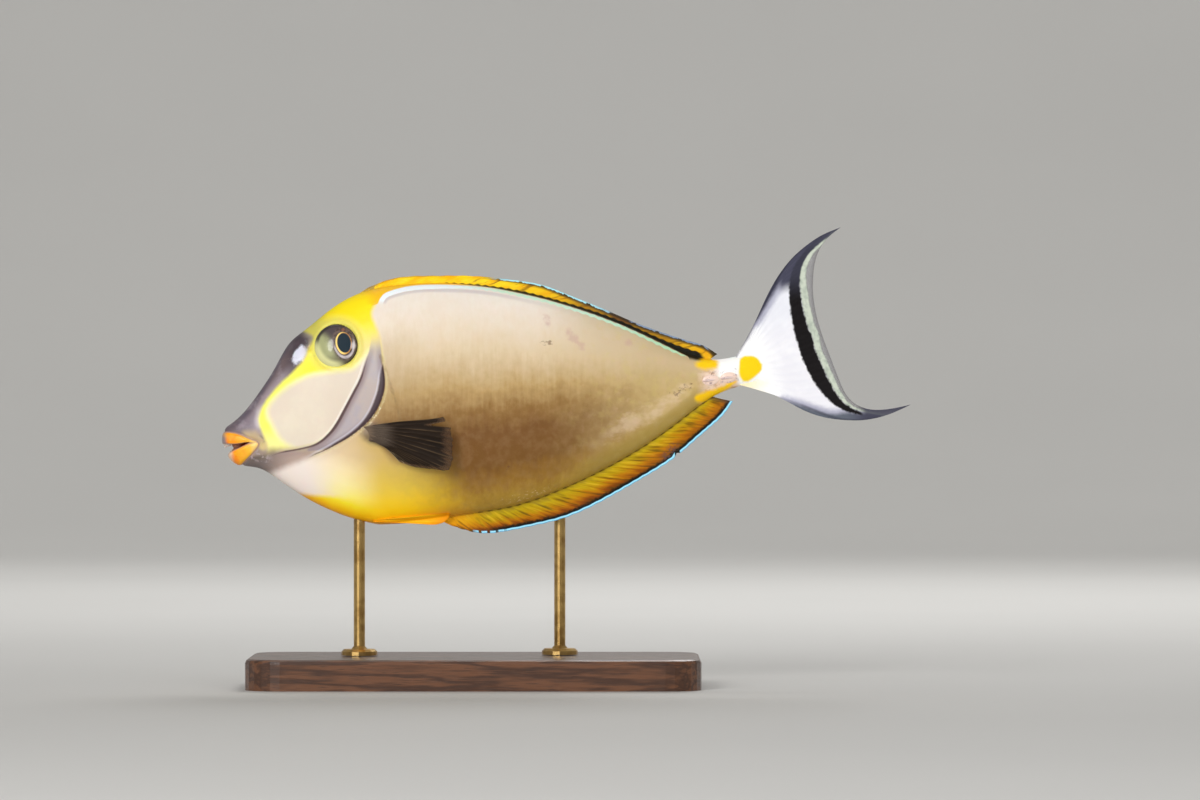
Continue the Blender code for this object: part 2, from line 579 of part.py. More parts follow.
def paint(piece, name, colour, roughness, metallic=0.0):
    """Gives a piece its Principled material."""
    material = bpy.data.materials.get(name)
    if material is None:
        material = bpy.data.materials.new(name)
        material.use_nodes = True
        shader = material.node_tree.nodes["Principled BSDF"]
        shader.inputs["Base Color"].default_value = (*colour, 1)
        shader.inputs["Roughness"].default_value = roughness
        shader.inputs["Metallic"].default_value = metallic
    piece.data.materials.clear()
    piece.data.materials.append(material)
    piece.data.shade_smooth()
    piece.data.set_sharp_from_angle(angle=math.radians(40))


def main():
    for old in list(bpy.data.objects):
        bpy.data.objects.remove(old)
    pose = bpy.data.objects.new("fish_pose", None)
    bpy.context.scene.collection.objects.link(pose)
    pose.location = (SNOUT_X * MM, 0, SNOUT_Z * MM)
    pose.rotation_euler = (0, -PITCH, 0)
    bpy.context.view_layer.update()

    beige, yellow = (0.68, 0.58, 0.47), (0.80, 0.42, 0.03)
    paint(head(pose), "cheek_skin", (0.66, 0.58, 0.50), 0.45)
    paint(lip("upper_lip", pose, UPPER_LIP, UPPER_TEETH), "lip", (0.90, 0.34, 0.04), 0.4)
    paint(lip("lower_lip", pose, LOWER_LIP, LOWER_TEETH), "lip", (0.90, 0.34, 0.04), 0.4)
    paint(trunk(pose), "flank_skin", beige, 0.45)
    paint(tail_stalk(pose), "flank_skin", beige, 0.45)
    for word, side in (("left", -1), ("right", 1)):
        paint(gill_cover("gill_cover_" + word, pose, side), "gill_skin", (0.50, 0.45, 0.48), 0.45)
        paint(eyeball("eye_" + word, pose, side), "eye", (0.05, 0.05, 0.05), 0.1)
        paint(pectoral_fin("pectoral_fin_" + word, pose, side), "dark_fin", (0.04, 0.035, 0.03), 0.5)
        paint(pelvic_fin("pelvic_fin_" + word, pose, side), "yellow_fin", yellow, 0.5)
    dorsal = median_fin("dorsal_fin", pose, BACK, DORSAL_HEIGHT, DORSAL_START, DORSAL_SOFT, DORSAL_END,
                        DORSAL_SPINES, DORSAL_RAYS, DORSAL_LEAN, 1)
    anal = median_fin("anal_fin", pose, BELLY, ANAL_HEIGHT, ANAL_START, ANAL_START + 6, ANAL_END,
                      ANAL_SPINES, ANAL_RAYS, ANAL_LEAN, -1)
    paint(dorsal, "yellow_fin", yellow, 0.5)
    paint(anal, "yellow_fin", yellow, 0.5)
    for word, share in TAIL_PARTS.items():
        paint(tail_lobe("tail_fin_" + word, pose, *share), "white_fin", (0.8, 0.8, 0.84), 0.45)
    paint(stand_base(), "stand_wood", (0.10, 0.05, 0.03), 0.4)
    paint(stand_rod("stand_rod_front", pose, FRONT_ROD), "stand_metal", (0.75, 0.72, 0.66), 0.3, 1.0)
    paint(stand_rod("stand_rod_rear", pose, REAR_ROD), "stand_metal", (0.75, 0.72, 0.66), 0.3, 1.0)


main()
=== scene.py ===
"""Elegant unicornfish, the finished museum model: skin, fins, eyes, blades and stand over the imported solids.

Shapes are worked out in the fish's own frame, in millimetres: s from the snout's tip towards the tail, h up,
and y out to its right side. to_world turns that frame nose down and puts it in metres. In the paint of each
surface a step's numbers are places or distances in millimetres, or values of a noise from 0 to 1, and three
whole numbers are a colour as it is seen, red, green and blue.
"""

import math

import bpy
import numpy as np
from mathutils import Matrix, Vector


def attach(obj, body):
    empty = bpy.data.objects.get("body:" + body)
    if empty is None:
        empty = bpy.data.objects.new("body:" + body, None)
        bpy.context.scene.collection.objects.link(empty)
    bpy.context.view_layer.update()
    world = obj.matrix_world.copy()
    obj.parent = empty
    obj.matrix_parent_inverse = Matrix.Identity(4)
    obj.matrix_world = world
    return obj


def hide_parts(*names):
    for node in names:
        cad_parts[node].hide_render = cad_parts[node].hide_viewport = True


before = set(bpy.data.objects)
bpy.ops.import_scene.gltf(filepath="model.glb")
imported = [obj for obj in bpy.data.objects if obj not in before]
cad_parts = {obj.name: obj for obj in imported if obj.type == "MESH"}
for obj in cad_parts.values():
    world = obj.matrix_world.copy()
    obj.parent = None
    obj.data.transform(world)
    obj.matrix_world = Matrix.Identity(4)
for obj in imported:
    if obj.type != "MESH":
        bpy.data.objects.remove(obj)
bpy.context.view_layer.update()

MM = 0.001
TURN = 2 * math.pi
PITCH = math.radians(7.6)  # nose down
SNOUT_X, SNOUT_Z = -134.55, 96.0  # where the snout's tip is in the world

# Body outline in side view, (s, h), and half width, (s, y)
NOSE_ROUND = 2.9
BODY_END = 213.0
BACK = [(0, 3.7), (3, 5.3), (7, 7.6), (10.5, 10.3), (15, 14.7), (19.5, 19.6), (24.5, 25.7), (30, 33.0),
        (37, 38.0), (51, 46.3), (63, 50.3), (78, 51.0), (97, 48.9), (123, 42.0), (147, 31.8), (168, 20.2),
        (184, 9.8), (194, 6.0), (205, 6.2), (213, 7.0)]
BELLY = [(0, -4.8), (1.5, -6.2), (3, -8.1), (5, -9.8), (9.5, -11.5), (14, -13.2), (20, -18.2),
         (28, -25.3), (38, -32.3), (52, -39.0), (68, -41.5), (90, -41.0), (112, -39.9), (128, -36.4),
         (145, -31.1), (162, -24.2), (178, -15.9), (191, -8.8), (205, -5.6), (213, -5.4)]
WIDTH = [(0, 3.9), (6, 5.6), (14, 7.2), (26, 9.2), (40, 11.8), (55, 14.3), (72, 16.2), (92, 16.9),
         (112, 16.2), (132, 14.0), (152, 11.0), (170, 7.8), (186, 5.2), (196, 4.3), (205, 3.4),
         (213, 0.5)]
SECTION_FULLNESS = 0.94  # 1 is an ellipse, less is a fuller section
SKIN_ENDS = (4.0, BODY_END + 0.3)  # s of the points that close the skin, in the mouth and in the tail's root

# Lines and patches of the head in side view
GILL_EDGE = [(60, 58), (69.5, 48.0), (65.4, 43.0), (64.4, 40.6), (66.0, 35.5), (66.7, 31), (66.6, 26.0),
             (66.3, 20.5), (66.5, 15.0), (65.3, 9.8), (62.2, 4.3), (58.6, 0.3), (54.4, -2.6),
             (50.2, -5.0), (45.4, -6.9), (40.6, -8.7), (36, -9.9), (31.5, -11.2)]
CHEEK_LINE = [(62.6, 28.0), (59.6, 22.2), (57.1, 16.5), (53.8, 12.0), (49.7, 6.2), (45.0, -0.3),
              (40.6, -4.1), (36.4, -6.2), (30.2, -7.0), (22.0, -7.2), (15.0, -9.0)]
BEFORE_GILL = [(15, -30), (-20, -30), (-20, 58)]
BEFORE_CHEEK = [(-20, -9), (-20, 28)]
HEAD_FRONT = [(15.0, -9.0), (-10, -9), (-10, 58)]
BAND_FRONT = [(40.9, 35.7), (38.5, 30.5), (36.6, 26.9), (31.5, 22.8), (25.6, 18.9), (19.4, 13.4),
              (16.3, 8.7), (15.3, 5.0), (16.6, 0.2), (17.6, -5.2)]
MASK_TOP = [(33.5, 48), (35.4, 38.9), (38.4, 37.3), (41.6, 35.4)]
MASK_FRONT = [(16.5, -9.2), (-10, -9.2), (-10, 48)]
BAND_REAR = [(64.0, 29.0), (56.1, 21.6), (52.8, 20.7), (46.1, 21.0), (37.6, 21.0), (30.2, 18.4),
             (24.2, 15.1), (19.5, 10.8), (18.9, 7.2), (20.3, 3.8), (21.5, 0.0), (23.6, -3.8),
             (28.0, -7.2)]
CHEEK_BACK = [(33, -9), (44, -3), (54, 8), (60, 16), (64, 26)]
PLATE_TOP, PLATE_LOW = [(64.2, 37), (66.6, 34)], (31, -8.6)
CHIN = [(37, -8.3), (24, -6.6), (12, -5.6), (2, -12), (12, -16), (20, -14.2), (29, -11.8), (36, -10)]
UPPER_LIP = [(-3, 3.1), (2.1, 3.2), (4.8, 2.6), (7.8, 1.4), (9.8, 0.0), (11.9, -1.2), (14.2, -2.3),
             (13.4, -3.0), (9.6, -2.1), (6.4, -2.2), (3.3, -1.9), (1.1, -1.5), (-3, -1.4)]
LOWER_LIP = [(-3, -6.2), (1.0, -5.9), (2.9, -4.8), (4.6, -4.2), (6.8, -3.6), (9.5, -2.7), (13.8, -2.2),
             (14.7, -3.4), (12.2, -5.9), (9.9, -7.8), (7.1, -9.9), (5.4, -11.5), (5, -13), (-3, -13)]
MOUTH = [(-6, -1.2), (1.1, -1.4), (3.3, -1.8), (6.4, -2.1), (9.6, -1.9), (11.4, -2.0), (9.5, -2.75),
         (6.8, -3.65), (4.6, -4.25), (2.9, -4.9), (1.0, -6.0), (-6, -6.4)]
JAW_CORNER = [(9.5, 1.8), (13.6, 1.4), (17.1, -2.0), (15.0, -4.8), (12.4, -4.4), (10.5, -2.0)]
PALE_LINE = [(67.6, 44.6), (68.6, 46.6), (71.0, 48.8), (79.9, 50.0), (87.5, 49.6), (96.6, 48.3),
             (105.8, 46.6), (113.2, 44.7), (122.8, 41.4), (133.3, 37.4), (147.4, 31.0), (161.5, 23.4),
             (175.4, 14.4), (184.5, 8.2)]
UNDER_LINE = [(184.5, -80), (-60, -80), (-60, 44.6)]
TAIL_PATCH = [(204.8, 5.7), (210.8, 5.0), (212.9, 0.3), (209.8, -2.4), (204.9, -4.8), (203.3, -1.3),
              (204.0, 2.6)]
STREAK_TOP = [(187.0, 5.6), (191.0, 6.6), (195.6, 5.6), (195.4, 2.6), (191.5, 2.4), (187.6, 3.6)]
STREAK_LOW = [(184.6, -7.4), (187.5, -6.3), (194.3, -5.2), (201.4, -3.2), (202.2, -3.9), (195.0, -8.0),
              (189.4, -10.4), (185.4, -10.0)]
SCAR = [(66.1, 24.3), (68.5, 11.9), (70.2, 5.0), (70.4, -1.1)]  # faint crease behind the gill opening
# Middle of the painted highlight on the brow, where the brow also swells, and its stretch along and across the
# slope
BROW_HIGHLIGHT_AT, BROW_LONG, BROW_ACROSS = (34.9, 29.0), 1.3, 0.75
SHOULDER, KEEL = (57.5, -5.8), (57.0, -38.5)  # where the skin swells at the roots of the paired fins
GILL_WIDTH = [(0.41, -1.0), (0.44, -0.1), (0.46, 0.8), (0.49, 1.6), (0.53, 2.1), (0.6, 2.2), (0.66, 1.8),
              (0.72, 1.2), (0.79, 0.9), (0.86, 0.6), (0.95, 0.1), (1, -0.5)]
CHEEK_WIDTH = [(0, 0), (0.08, 0.15), (0.2, 0.6), (0.5, 0.825), (0.7, 0.525), (0.85, 0.4125), (0.97, 0)]
PINK_MARKS = [[(131.9, 30.6), (132.0, 28.4)], [(139.2, 24.2), (144.1, 17.3)],
              [(162.0, 17.2), (162.5, 16.6)]]
BROWN_MARKS = [[(129.8, 20.8), (132, 20.6)], [(108.8, -24.3), (109, -25)], [(177, -6.1), (183.8, -2.3)]]
REAR_STREAK = [(140, -21.5), (147, -18.4), (156, -15.2), (166, -12.2), (174, -8.0), (181, -3.8)]
# Path of the painted shade on the skin round the pectoral fin's root
PECTORAL_SHADE_PATH = [(58.6, -4.6), (66.0, -7.2)]

EYE_CENTRE = (49.9, 30.7)
EYE_RADIUS, EYE_DEPTH, EYE_SINK = 9.0, 4.4, 1.8
EYE_UP_TILT = math.radians(13)
EYE_OPENING = 8.15
NOSTRILS = [(38.0, 33.4, 0.62), (39.0, 30.6, 0.5)]  # (s, h, radius)

# Relief of the skin: how high each form stands or how deep it lies, and how far its step fades inwards
COVER_STEP, COVER_GROOVE, COVER_FADE = 0.62, 0.25, 9
CHEEK_STEP, CHEEK_GROOVE, CHEEK_FADE = 0.42, 0.22, 6
BROW_SWELL, SCAR_GROOVE = 0.5, 0.12
ORBIT_RIM, ORBIT_DEPTH = 0.5, 4.2
LIP_SWELL, LIP_GROOVE, CORNER_GROOVE, MOUTH_DEPTH = 0.42, 0.32, 0.24, 3.2
NOSTRIL_DEPTH, NOSTRIL_RIM = 0.8, 0.22
SHOULDER_SWELL, KEEL_SWELL = 0.9, 0.5

# Fins, as the solids have them
FIN_SINK = 1.6  # how far a dorsal or anal ray's root is let into the body
DORSAL_COUNTS, DORSAL_PLACES = (7, 28), (56.0, 98.0, 191.5)  # spines and rays; start, first ray and end
DORSAL_LEAN = [(56, 8.5), (168, 13.0), (182, 9.6), (191.5, 4.4)]
DORSAL_HEIGHT = [(58, 0.3), (66, 1.3), (72, 2.4), (79, 3.0), (90, 2.9), (104, 3.5), (122, 4.4),
                 (132, 5.0), (142, 4.0), (155, 3.0), (166, 2.7), (172, 3.5), (179.5, 4.8), (187, 5.6),
                 (191, 5.2), (193.5, 3.9), (197, 1.2)]
ANAL_COUNTS, ANAL_PLACES = (2, 29), (78.0, 84.0, 190.5)
ANAL_LEAN = [(78, 6.5), (90, 8.5), (104, 13.5), (125, 19.5), (150, 20.5), (170, 16.5), (190.5, 9.0)]
ANAL_HEIGHT = [(80, 1.0), (87, 5.0), (95, 8.2), (106, 9.2), (117, 9.9), (128, 11.3), (145, 11.5),
               (162, 11.5), (175, 11.9), (184, 11.2), (191, 10.2), (196, 8.0), (200, 4.4)]
NICK_S, NICK_DEPTH = 175.4, 1.1  # torn place in the anal fin's margin
TAIL_RAYS = 24
TAIL_ROOT_TOP, TAIL_ROOT_LOW = (203.0, 6.0), (203.0, -5.2)
TAIL_UPPER_EDGE = [TAIL_ROOT_TOP, (209.6, 14.6), (216, 23.8), (222.5, 33.2), (228.5, 40.0), (235.5, 45.0),
                   (243.0, 48.6), (250.2, 50.5)]
TAIL_LOWER_EDGE = [TAIL_ROOT_LOW, (210, -8.2), (218, -12.0), (226, -16.2), (234, -20.8), (241.5, -24.0),
                   (250, -25.2), (259.5, -24.2), (268.2, -21.6)]
TAIL_HIND_EDGE = [(250.2, 50.5), (244.0, 46.6), (239.6, 41.0), (237.0, 33.0), (236.0, 23.4),
                  (237.0, 12.4), (239.2, 2.0), (241.6, -8.0), (244.8, -16.4), (250.0, -20.6),
                  (258.5, -22.2), (268.2, -21.6)]
BAND_LEFT = [(246, 49.9), (239.5, 46.6), (234.5, 42.6), (230.4, 38.5), (228.1, 34.0), (226.8, 28.5),
             (226.4, 22.0), (226.5, 16.0), (227.4, 8.0), (228.8, 0.5), (231.0, -6.0), (233.9, -11.7),
             (237.0, -16.3), (241.5, -20.4), (249, -23.6)]
BAND_RIGHT = [(248, 50.2), (242.5, 46.4), (237.2, 42.9), (233.6, 38.8), (231.6, 34.0), (231.2, 27.2),
              (231.4, 20.0), (232.2, 13.6), (233.8, 9.4), (233.6, 5.2), (235.5, -0.6), (237.2, -6.8),
              (239.6, -13.2), (243.0, -18.8), (249, -22.2)]
MINT_WIDTH = [(-26, 0.4), (-21, 0.8), (-16, 1.5), (-8, 2.3), (4, 2.5), (9, 2.7), (16, 2.9), (28, 2.8),
              (38, 2.0), (46, 1.0), (52, 0.5)]
BEHIND_BAND = [(275, -30), (275, 60), (245, 60)]
SLATE_ABOVE = [(211.9, 16.6), (217.6, 23.6), (221.6, 28.6), (226.2, 33.6), (229.8, 37.4), (233.5, 41.6),
               (240, 45.6), (252, 51), (252, 58), (225, 52), (205, 20)]
SLATE_BELOW = [(217.4, -11.6), (226.1, -15.2), (232.5, -18.4), (238.0, -20.4), (243.0, -20.2),
               (249, -22.0), (258, -22.6), (270, -21), (272, -32), (240, -32), (217, -17)]
PECTORAL_ROOT = [(56.0, -2.0), (57.0, -7.6)]
PECTORAL_TIPS = [(89.2, -4.2), (89.7, -9.0), (89.4, -14.0), (88.6, -19.0), (87.2, -22.5), (81.0, -21.9),
                 (74.5, -20.4), (67.9, -17.2)]
PECTORAL_RAYS = 16
PECTORAL_OUT = math.radians(12)
PELVIC_ROOT = [(56.0, -39.4), (57.0, -38.4)]
PELVIC_TIPS = [(72.0, -42.3), (84.0, -41.2), (84.5, -40.4), (80.0, -39.6)]

BLADES = [191.9, 199.0]
BLADE_H = -1.8
BLADE_LENGTH, BLADE_RISE, BLADE_THICK, BLADE_HOOK = 6.4, 2.2, 1.7, 0.34
BLADE_SINK = 0.5
PLATE_LENGTH, PLATE_HEIGHT, PLATE_RISE, PLATE_SINK = 6.6, 4.2, 0.7, 0.15

# Teeth: the arch of each jaw, as heights of root, front tip and side tip, and its middle s
TEETH_IN_JAW = 11
JAW_TURN, JAW_REACH, JAW_SPREAD = math.radians(74), 3.9, 3.6
UPPER_JAW, LOWER_JAW = (-0.7, -3.1, -2.5, 4.7), (-6.0, -4.7, -4.4, 6.0)
TOOTH_WIDE, TOOTH_THICK, TOOTH_TAPER, TOOTH_CORNER = 0.36, 0.26, 0.22, 0.6

# Colours along a value: flank by its share of the body's height, belly and anal fin by how far out they are
# Front flank: its brown lower part is partly the fish's own colour and partly painted shade
FLANK_FRONT = [(0.0, (196, 160, 66)), (0.1, (152, 112, 42)), (0.2, (120, 81, 32)), (0.34, (119, 80, 37)),
               (0.44, (144, 107, 56)), (0.54, (186, 155, 102)), (0.7, (218, 197, 163)),
               (0.9, (234, 221, 206)), (1.0, (240, 232, 222))]
FLANK_REAR = [(0.0, (200, 172, 80)), (0.12, (200, 172, 104)), (0.22, (206, 179, 122)),
              (0.4, (202, 176, 118)), (0.6, (196, 172, 124)), (0.8, (200, 176, 138)),
              (1.0, (188, 168, 124))]
BELLY_FRONT = [(0.0, (255, 176, 12)), (0.08, (255, 202, 14)), (0.17, (255, 230, 46)),
               (0.28, (255, 240, 124)), (0.42, (252, 236, 166)), (0.6, (246, 226, 176)),
               (0.8, (226, 200, 160))]
BELLY_REAR = [(0.0, (255, 168, 10)), (0.08, (255, 186, 8)), (0.17, (255, 204, 16)),
              (0.28, (248, 206, 44)), (0.42, (232, 198, 70)), (0.6, (220, 188, 86)),
              (0.8, (208, 176, 104))]
ANAL_RAMP = [(0.08, (164, 138, 36)), (0.25, (190, 162, 18)), (0.45, (184, 142, 6)), (0.6, (184, 116, 4)),
             (0.76, (140, 70, 4)), (0.95, (76, 44, 4))]

# Camera and floor, in metres
VIEW_MIDDLE, VIEW_WIDTH = (0.01287, 0.0, 0.1118), 0.468  # what the camera sees, and how wide it is there
FLOOR_FLAT, FLOOR_CURVE, FLOOR_COLUMNS = 2.2, 2.4, 96

# How finely the skin and the fins are drawn
COLUMNS_PER_RAY = 10
AROUND, CROWDING = 240, 0.45
NOSE_ROWS, LIP_ROWS, HEAD_ROWS, BODY_ROWS = 36, 56, 168, 130
LIP_END, HEAD_END = 16.0, 70.0


def spline(knots, at):
    """Natural cubic spline through (x, value) knots, read at the x values given."""
    x, v = np.array(knots, float).T
    n, step = len(x), np.diff(x)
    matrix, right = np.eye(n), np.zeros(n)
    for i in range(1, n - 1):
        matrix[i, i - 1 : i + 2] = step[i - 1], 2 * (step[i - 1] + step[i]), step[i]
        right[i] = 6 * ((v[i + 1] - v[i]) / step[i] - (v[i] - v[i - 1]) / step[i - 1])
    bend = np.linalg.solve(matrix, right)
    at = np.asarray(at, float)
    i = np.clip(np.searchsorted(x, at) - 1, 0, n - 2)
    a, b, width = x[i + 1] - at, at - x[i], step[i]
    cubic = (bend[i] * a**3 + bend[i + 1] * b**3) / (6 * width)
    return cubic + (v[i] / width - bend[i] * width / 6) * a + (v[i + 1] / width - bend[i + 1] * width / 6) * b


def through(points, at):
    """Smooth curve through points in side view, read at shares of its length from 0 to 1."""
    p = np.array(points, float)
    along = np.concatenate([[0], np.cumsum(np.linalg.norm(np.diff(p, axis=0), axis=1))])
    along /= along[-1]
    return np.stack([spline(np.stack([along, p[:, k]], 1), at) for k in range(2)], axis=-1)


def rise(x, low, high):
    """Smooth step from 0 at low to 1 at high."""
    t = np.clip((x - low) / (high - low), 0, 1)
    return t * t * (3 - 2 * t)


def bell(x, width):
    """Bell curve: 1 at 0, and 1/e at width."""
    return np.exp(-((x / width) ** 2))


def to_world(s, y, h):
    """Fish frame in millimetres to the world in metres."""
    x = SNOUT_X + s * math.cos(PITCH) - h * math.sin(PITCH)
    z = SNOUT_Z + s * math.sin(PITCH) + h * math.cos(PITCH)
    return np.stack(np.broadcast_arrays(x, y, z), axis=-1) * MM


def outline(s):
    """Middle height, half height and half width of the body at s, rounded in at the nose."""
    nose = np.sqrt(1 - (1 - np.clip(s / NOSE_ROUND, 0, 1)) ** 2)
    top, low = spline(BACK, s), spline(BELLY, s)
    return (top + low) / 2, (top - low) / 2 * nose, spline(WIDTH, s) * nose


def half_width(s, h):
    """The body's half width at a point of its side view."""
    middle, half_height, width = outline(np.asarray(s, float))
    across = np.clip((h - middle) / half_height, -1, 1)
    return width * (1 - across**2) ** (SECTION_FULLNESS / 2)


def softened(points, times=2, closed=True):
    """Corners cut at a quarter and three quarters of each side, a few times over."""
    p = np.array(points, float)
    for _ in range(times):
        q = np.roll(p, -1, axis=0) if closed else p[1:]
        base = p if closed else p[:-1]
        cut = np.stack([base * 0.75 + q * 0.25, base * 0.25 + q * 0.75], 1).reshape(-1, 2)
        p = cut if closed else np.vstack([p[:1], cut, p[-1:]])
    return p


def nearest(s, h, path):
    """Distance from each point to a path in side view, and the share of its length where it is nearest."""
    path = np.asarray(path, float)
    runs = np.diff(path, axis=0)
    lengths = np.linalg.norm(runs, axis=1)
    starts = np.concatenate([[0], np.cumsum(lengths)])
    best, share = np.full(s.shape, 1e9), np.zeros(s.shape)
    for (a, b), (da, db), length, start in zip(path[:-1], runs, lengths, starts[:-1]):
        t = np.clip(((s - a) * da + (h - b) * db) / length**2, 0, 1)
        d = np.hypot(s - a - t * da, h - b - t * db)
        closer = d < best
        best = np.where(closer, d, best)
        share = np.where(closer, (start + t * length) / starts[-1], share)
    return best, share


def region(s, h, corners, times=2):
    """Signed distance to a closed outline in side view, negative inside."""
    ring = softened(corners, times)
    ring = np.vstack([ring, ring[:1]])
    odd = np.zeros(s.shape, bool)
    for (a, b), (c, d) in zip(ring[:-1], ring[1:]):
        if b != d:
            odd ^= ((b > h) != (d > h)) & (s < (c - a) * (h - b) / (d - b) + a)
    return np.where(odd, -1, 1) * nearest(s, h, ring)[0]


def surface(name, points, faces, material):
    """A smooth mesh in the scene; a quad with a corner doubled becomes a triangle."""
    mesh = bpy.data.meshes.new(name)
    mesh.from_pydata(points.tolist(), [], [list(dict.fromkeys(f)) for f in faces.tolist()])
    mesh.shade_smooth()
    mesh.materials.append(material)
    made = bpy.data.objects.new(name, mesh)
    bpy.context.scene.collection.objects.link(made)
    return made


def turned_out(points, faces):
    """The faces of one closed shell, turned to look outwards by the sign of the volume that they enclose."""
    a, b, c, d = (points[faces[:, k]] for k in range(4))
    volume = np.sum(a * np.cross(b, c)) + np.sum(a * np.cross(c, d))
    return faces[:, ::-1] if volume < 0 else faces


def piece(name, points, faces, fields, material, slot, *nodes):
    """A finished mesh: points in metres, faces turned outwards, with its named per-point numbers."""
    made = surface(name, points, turned_out(points, faces), material)
    for field, values in fields.items():
        layer = made.data.attributes.new(field, "FLOAT", "POINT")
        layer.data.foreach_set("value", np.ascontiguousarray(values, np.float32).ravel())
    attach(made, "root")
    if nodes:
        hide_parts(*nodes)


def grid_faces(rows, columns, wrap=False):
    """Quads of a grid, rows by columns, which may close on itself across the columns."""
    i, j = np.meshgrid(np.arange(rows - 1), np.arange(columns if wrap else columns - 1), indexing="ij")
    a, b = i * columns + j, i * columns + (j + 1) % columns
    return np.stack([a, a + columns, b + columns, b], axis=-1).reshape(-1, 4)


def fan(ring, centre):
    """Triangles, as quads with a corner doubled, from a closed ring of points to one centre."""
    after = np.roll(ring, -1)
    middle = np.full(len(ring), centre)
    return np.stack([ring, after, middle, middle], axis=1)


def capped_faces(rows, columns):
    """Quads of a grid that closes on itself, with fans to two more points, one at either end."""
    n = rows * columns
    last = np.arange(n - 1, n - columns - 1, -1)
    return np.vstack([grid_faces(rows, columns, True), fan(np.arange(columns), n), fan(last, n + 1)])


def hue(*seen):
    """A colour as it is seen, red, green and blue from 0 to 255, as linear light."""
    parts = [part / 255 for part in seen]
    return (*(c / 12.92 if c <= 0.04045 else ((c + 0.055) / 1.055) ** 2.4 for c in parts), 1.0)


class Amount:
    """A number that changes over a surface: arithmetic on it adds Math nodes to its material."""

    def __init__(self, paint, socket):
        self.paint, self.socket = paint, socket

    def _math(self, operation, first, second):
        return self.paint.node("ShaderNodeMath", {"operation": operation}, {0: first, 1: second})

    def __add__(self, other):
        return self._math("ADD", self, other)

    def __sub__(self, other):
        return self._math("SUBTRACT", self, other)

    def __rsub__(self, other):
        return self._math("SUBTRACT", other, self)

    def __mul__(self, other):
        return self._math("MULTIPLY", self, other)

    def __truediv__(self, other):
        return self._math("DIVIDE", self, other)

    def __pow__(self, other):
        return self._math("POWER", self, other)

    def larger(self, other):
        return self._math("MAXIMUM", self, other)

    def smaller(self, other):
        return self._math("MINIMUM", self, other)

    def size(self):
        return self._math("ABSOLUTE", self, 0)

    def wave(self):
        return self._math("SINE", self, 0)

    __radd__, __rmul__ = __add__, __mul__


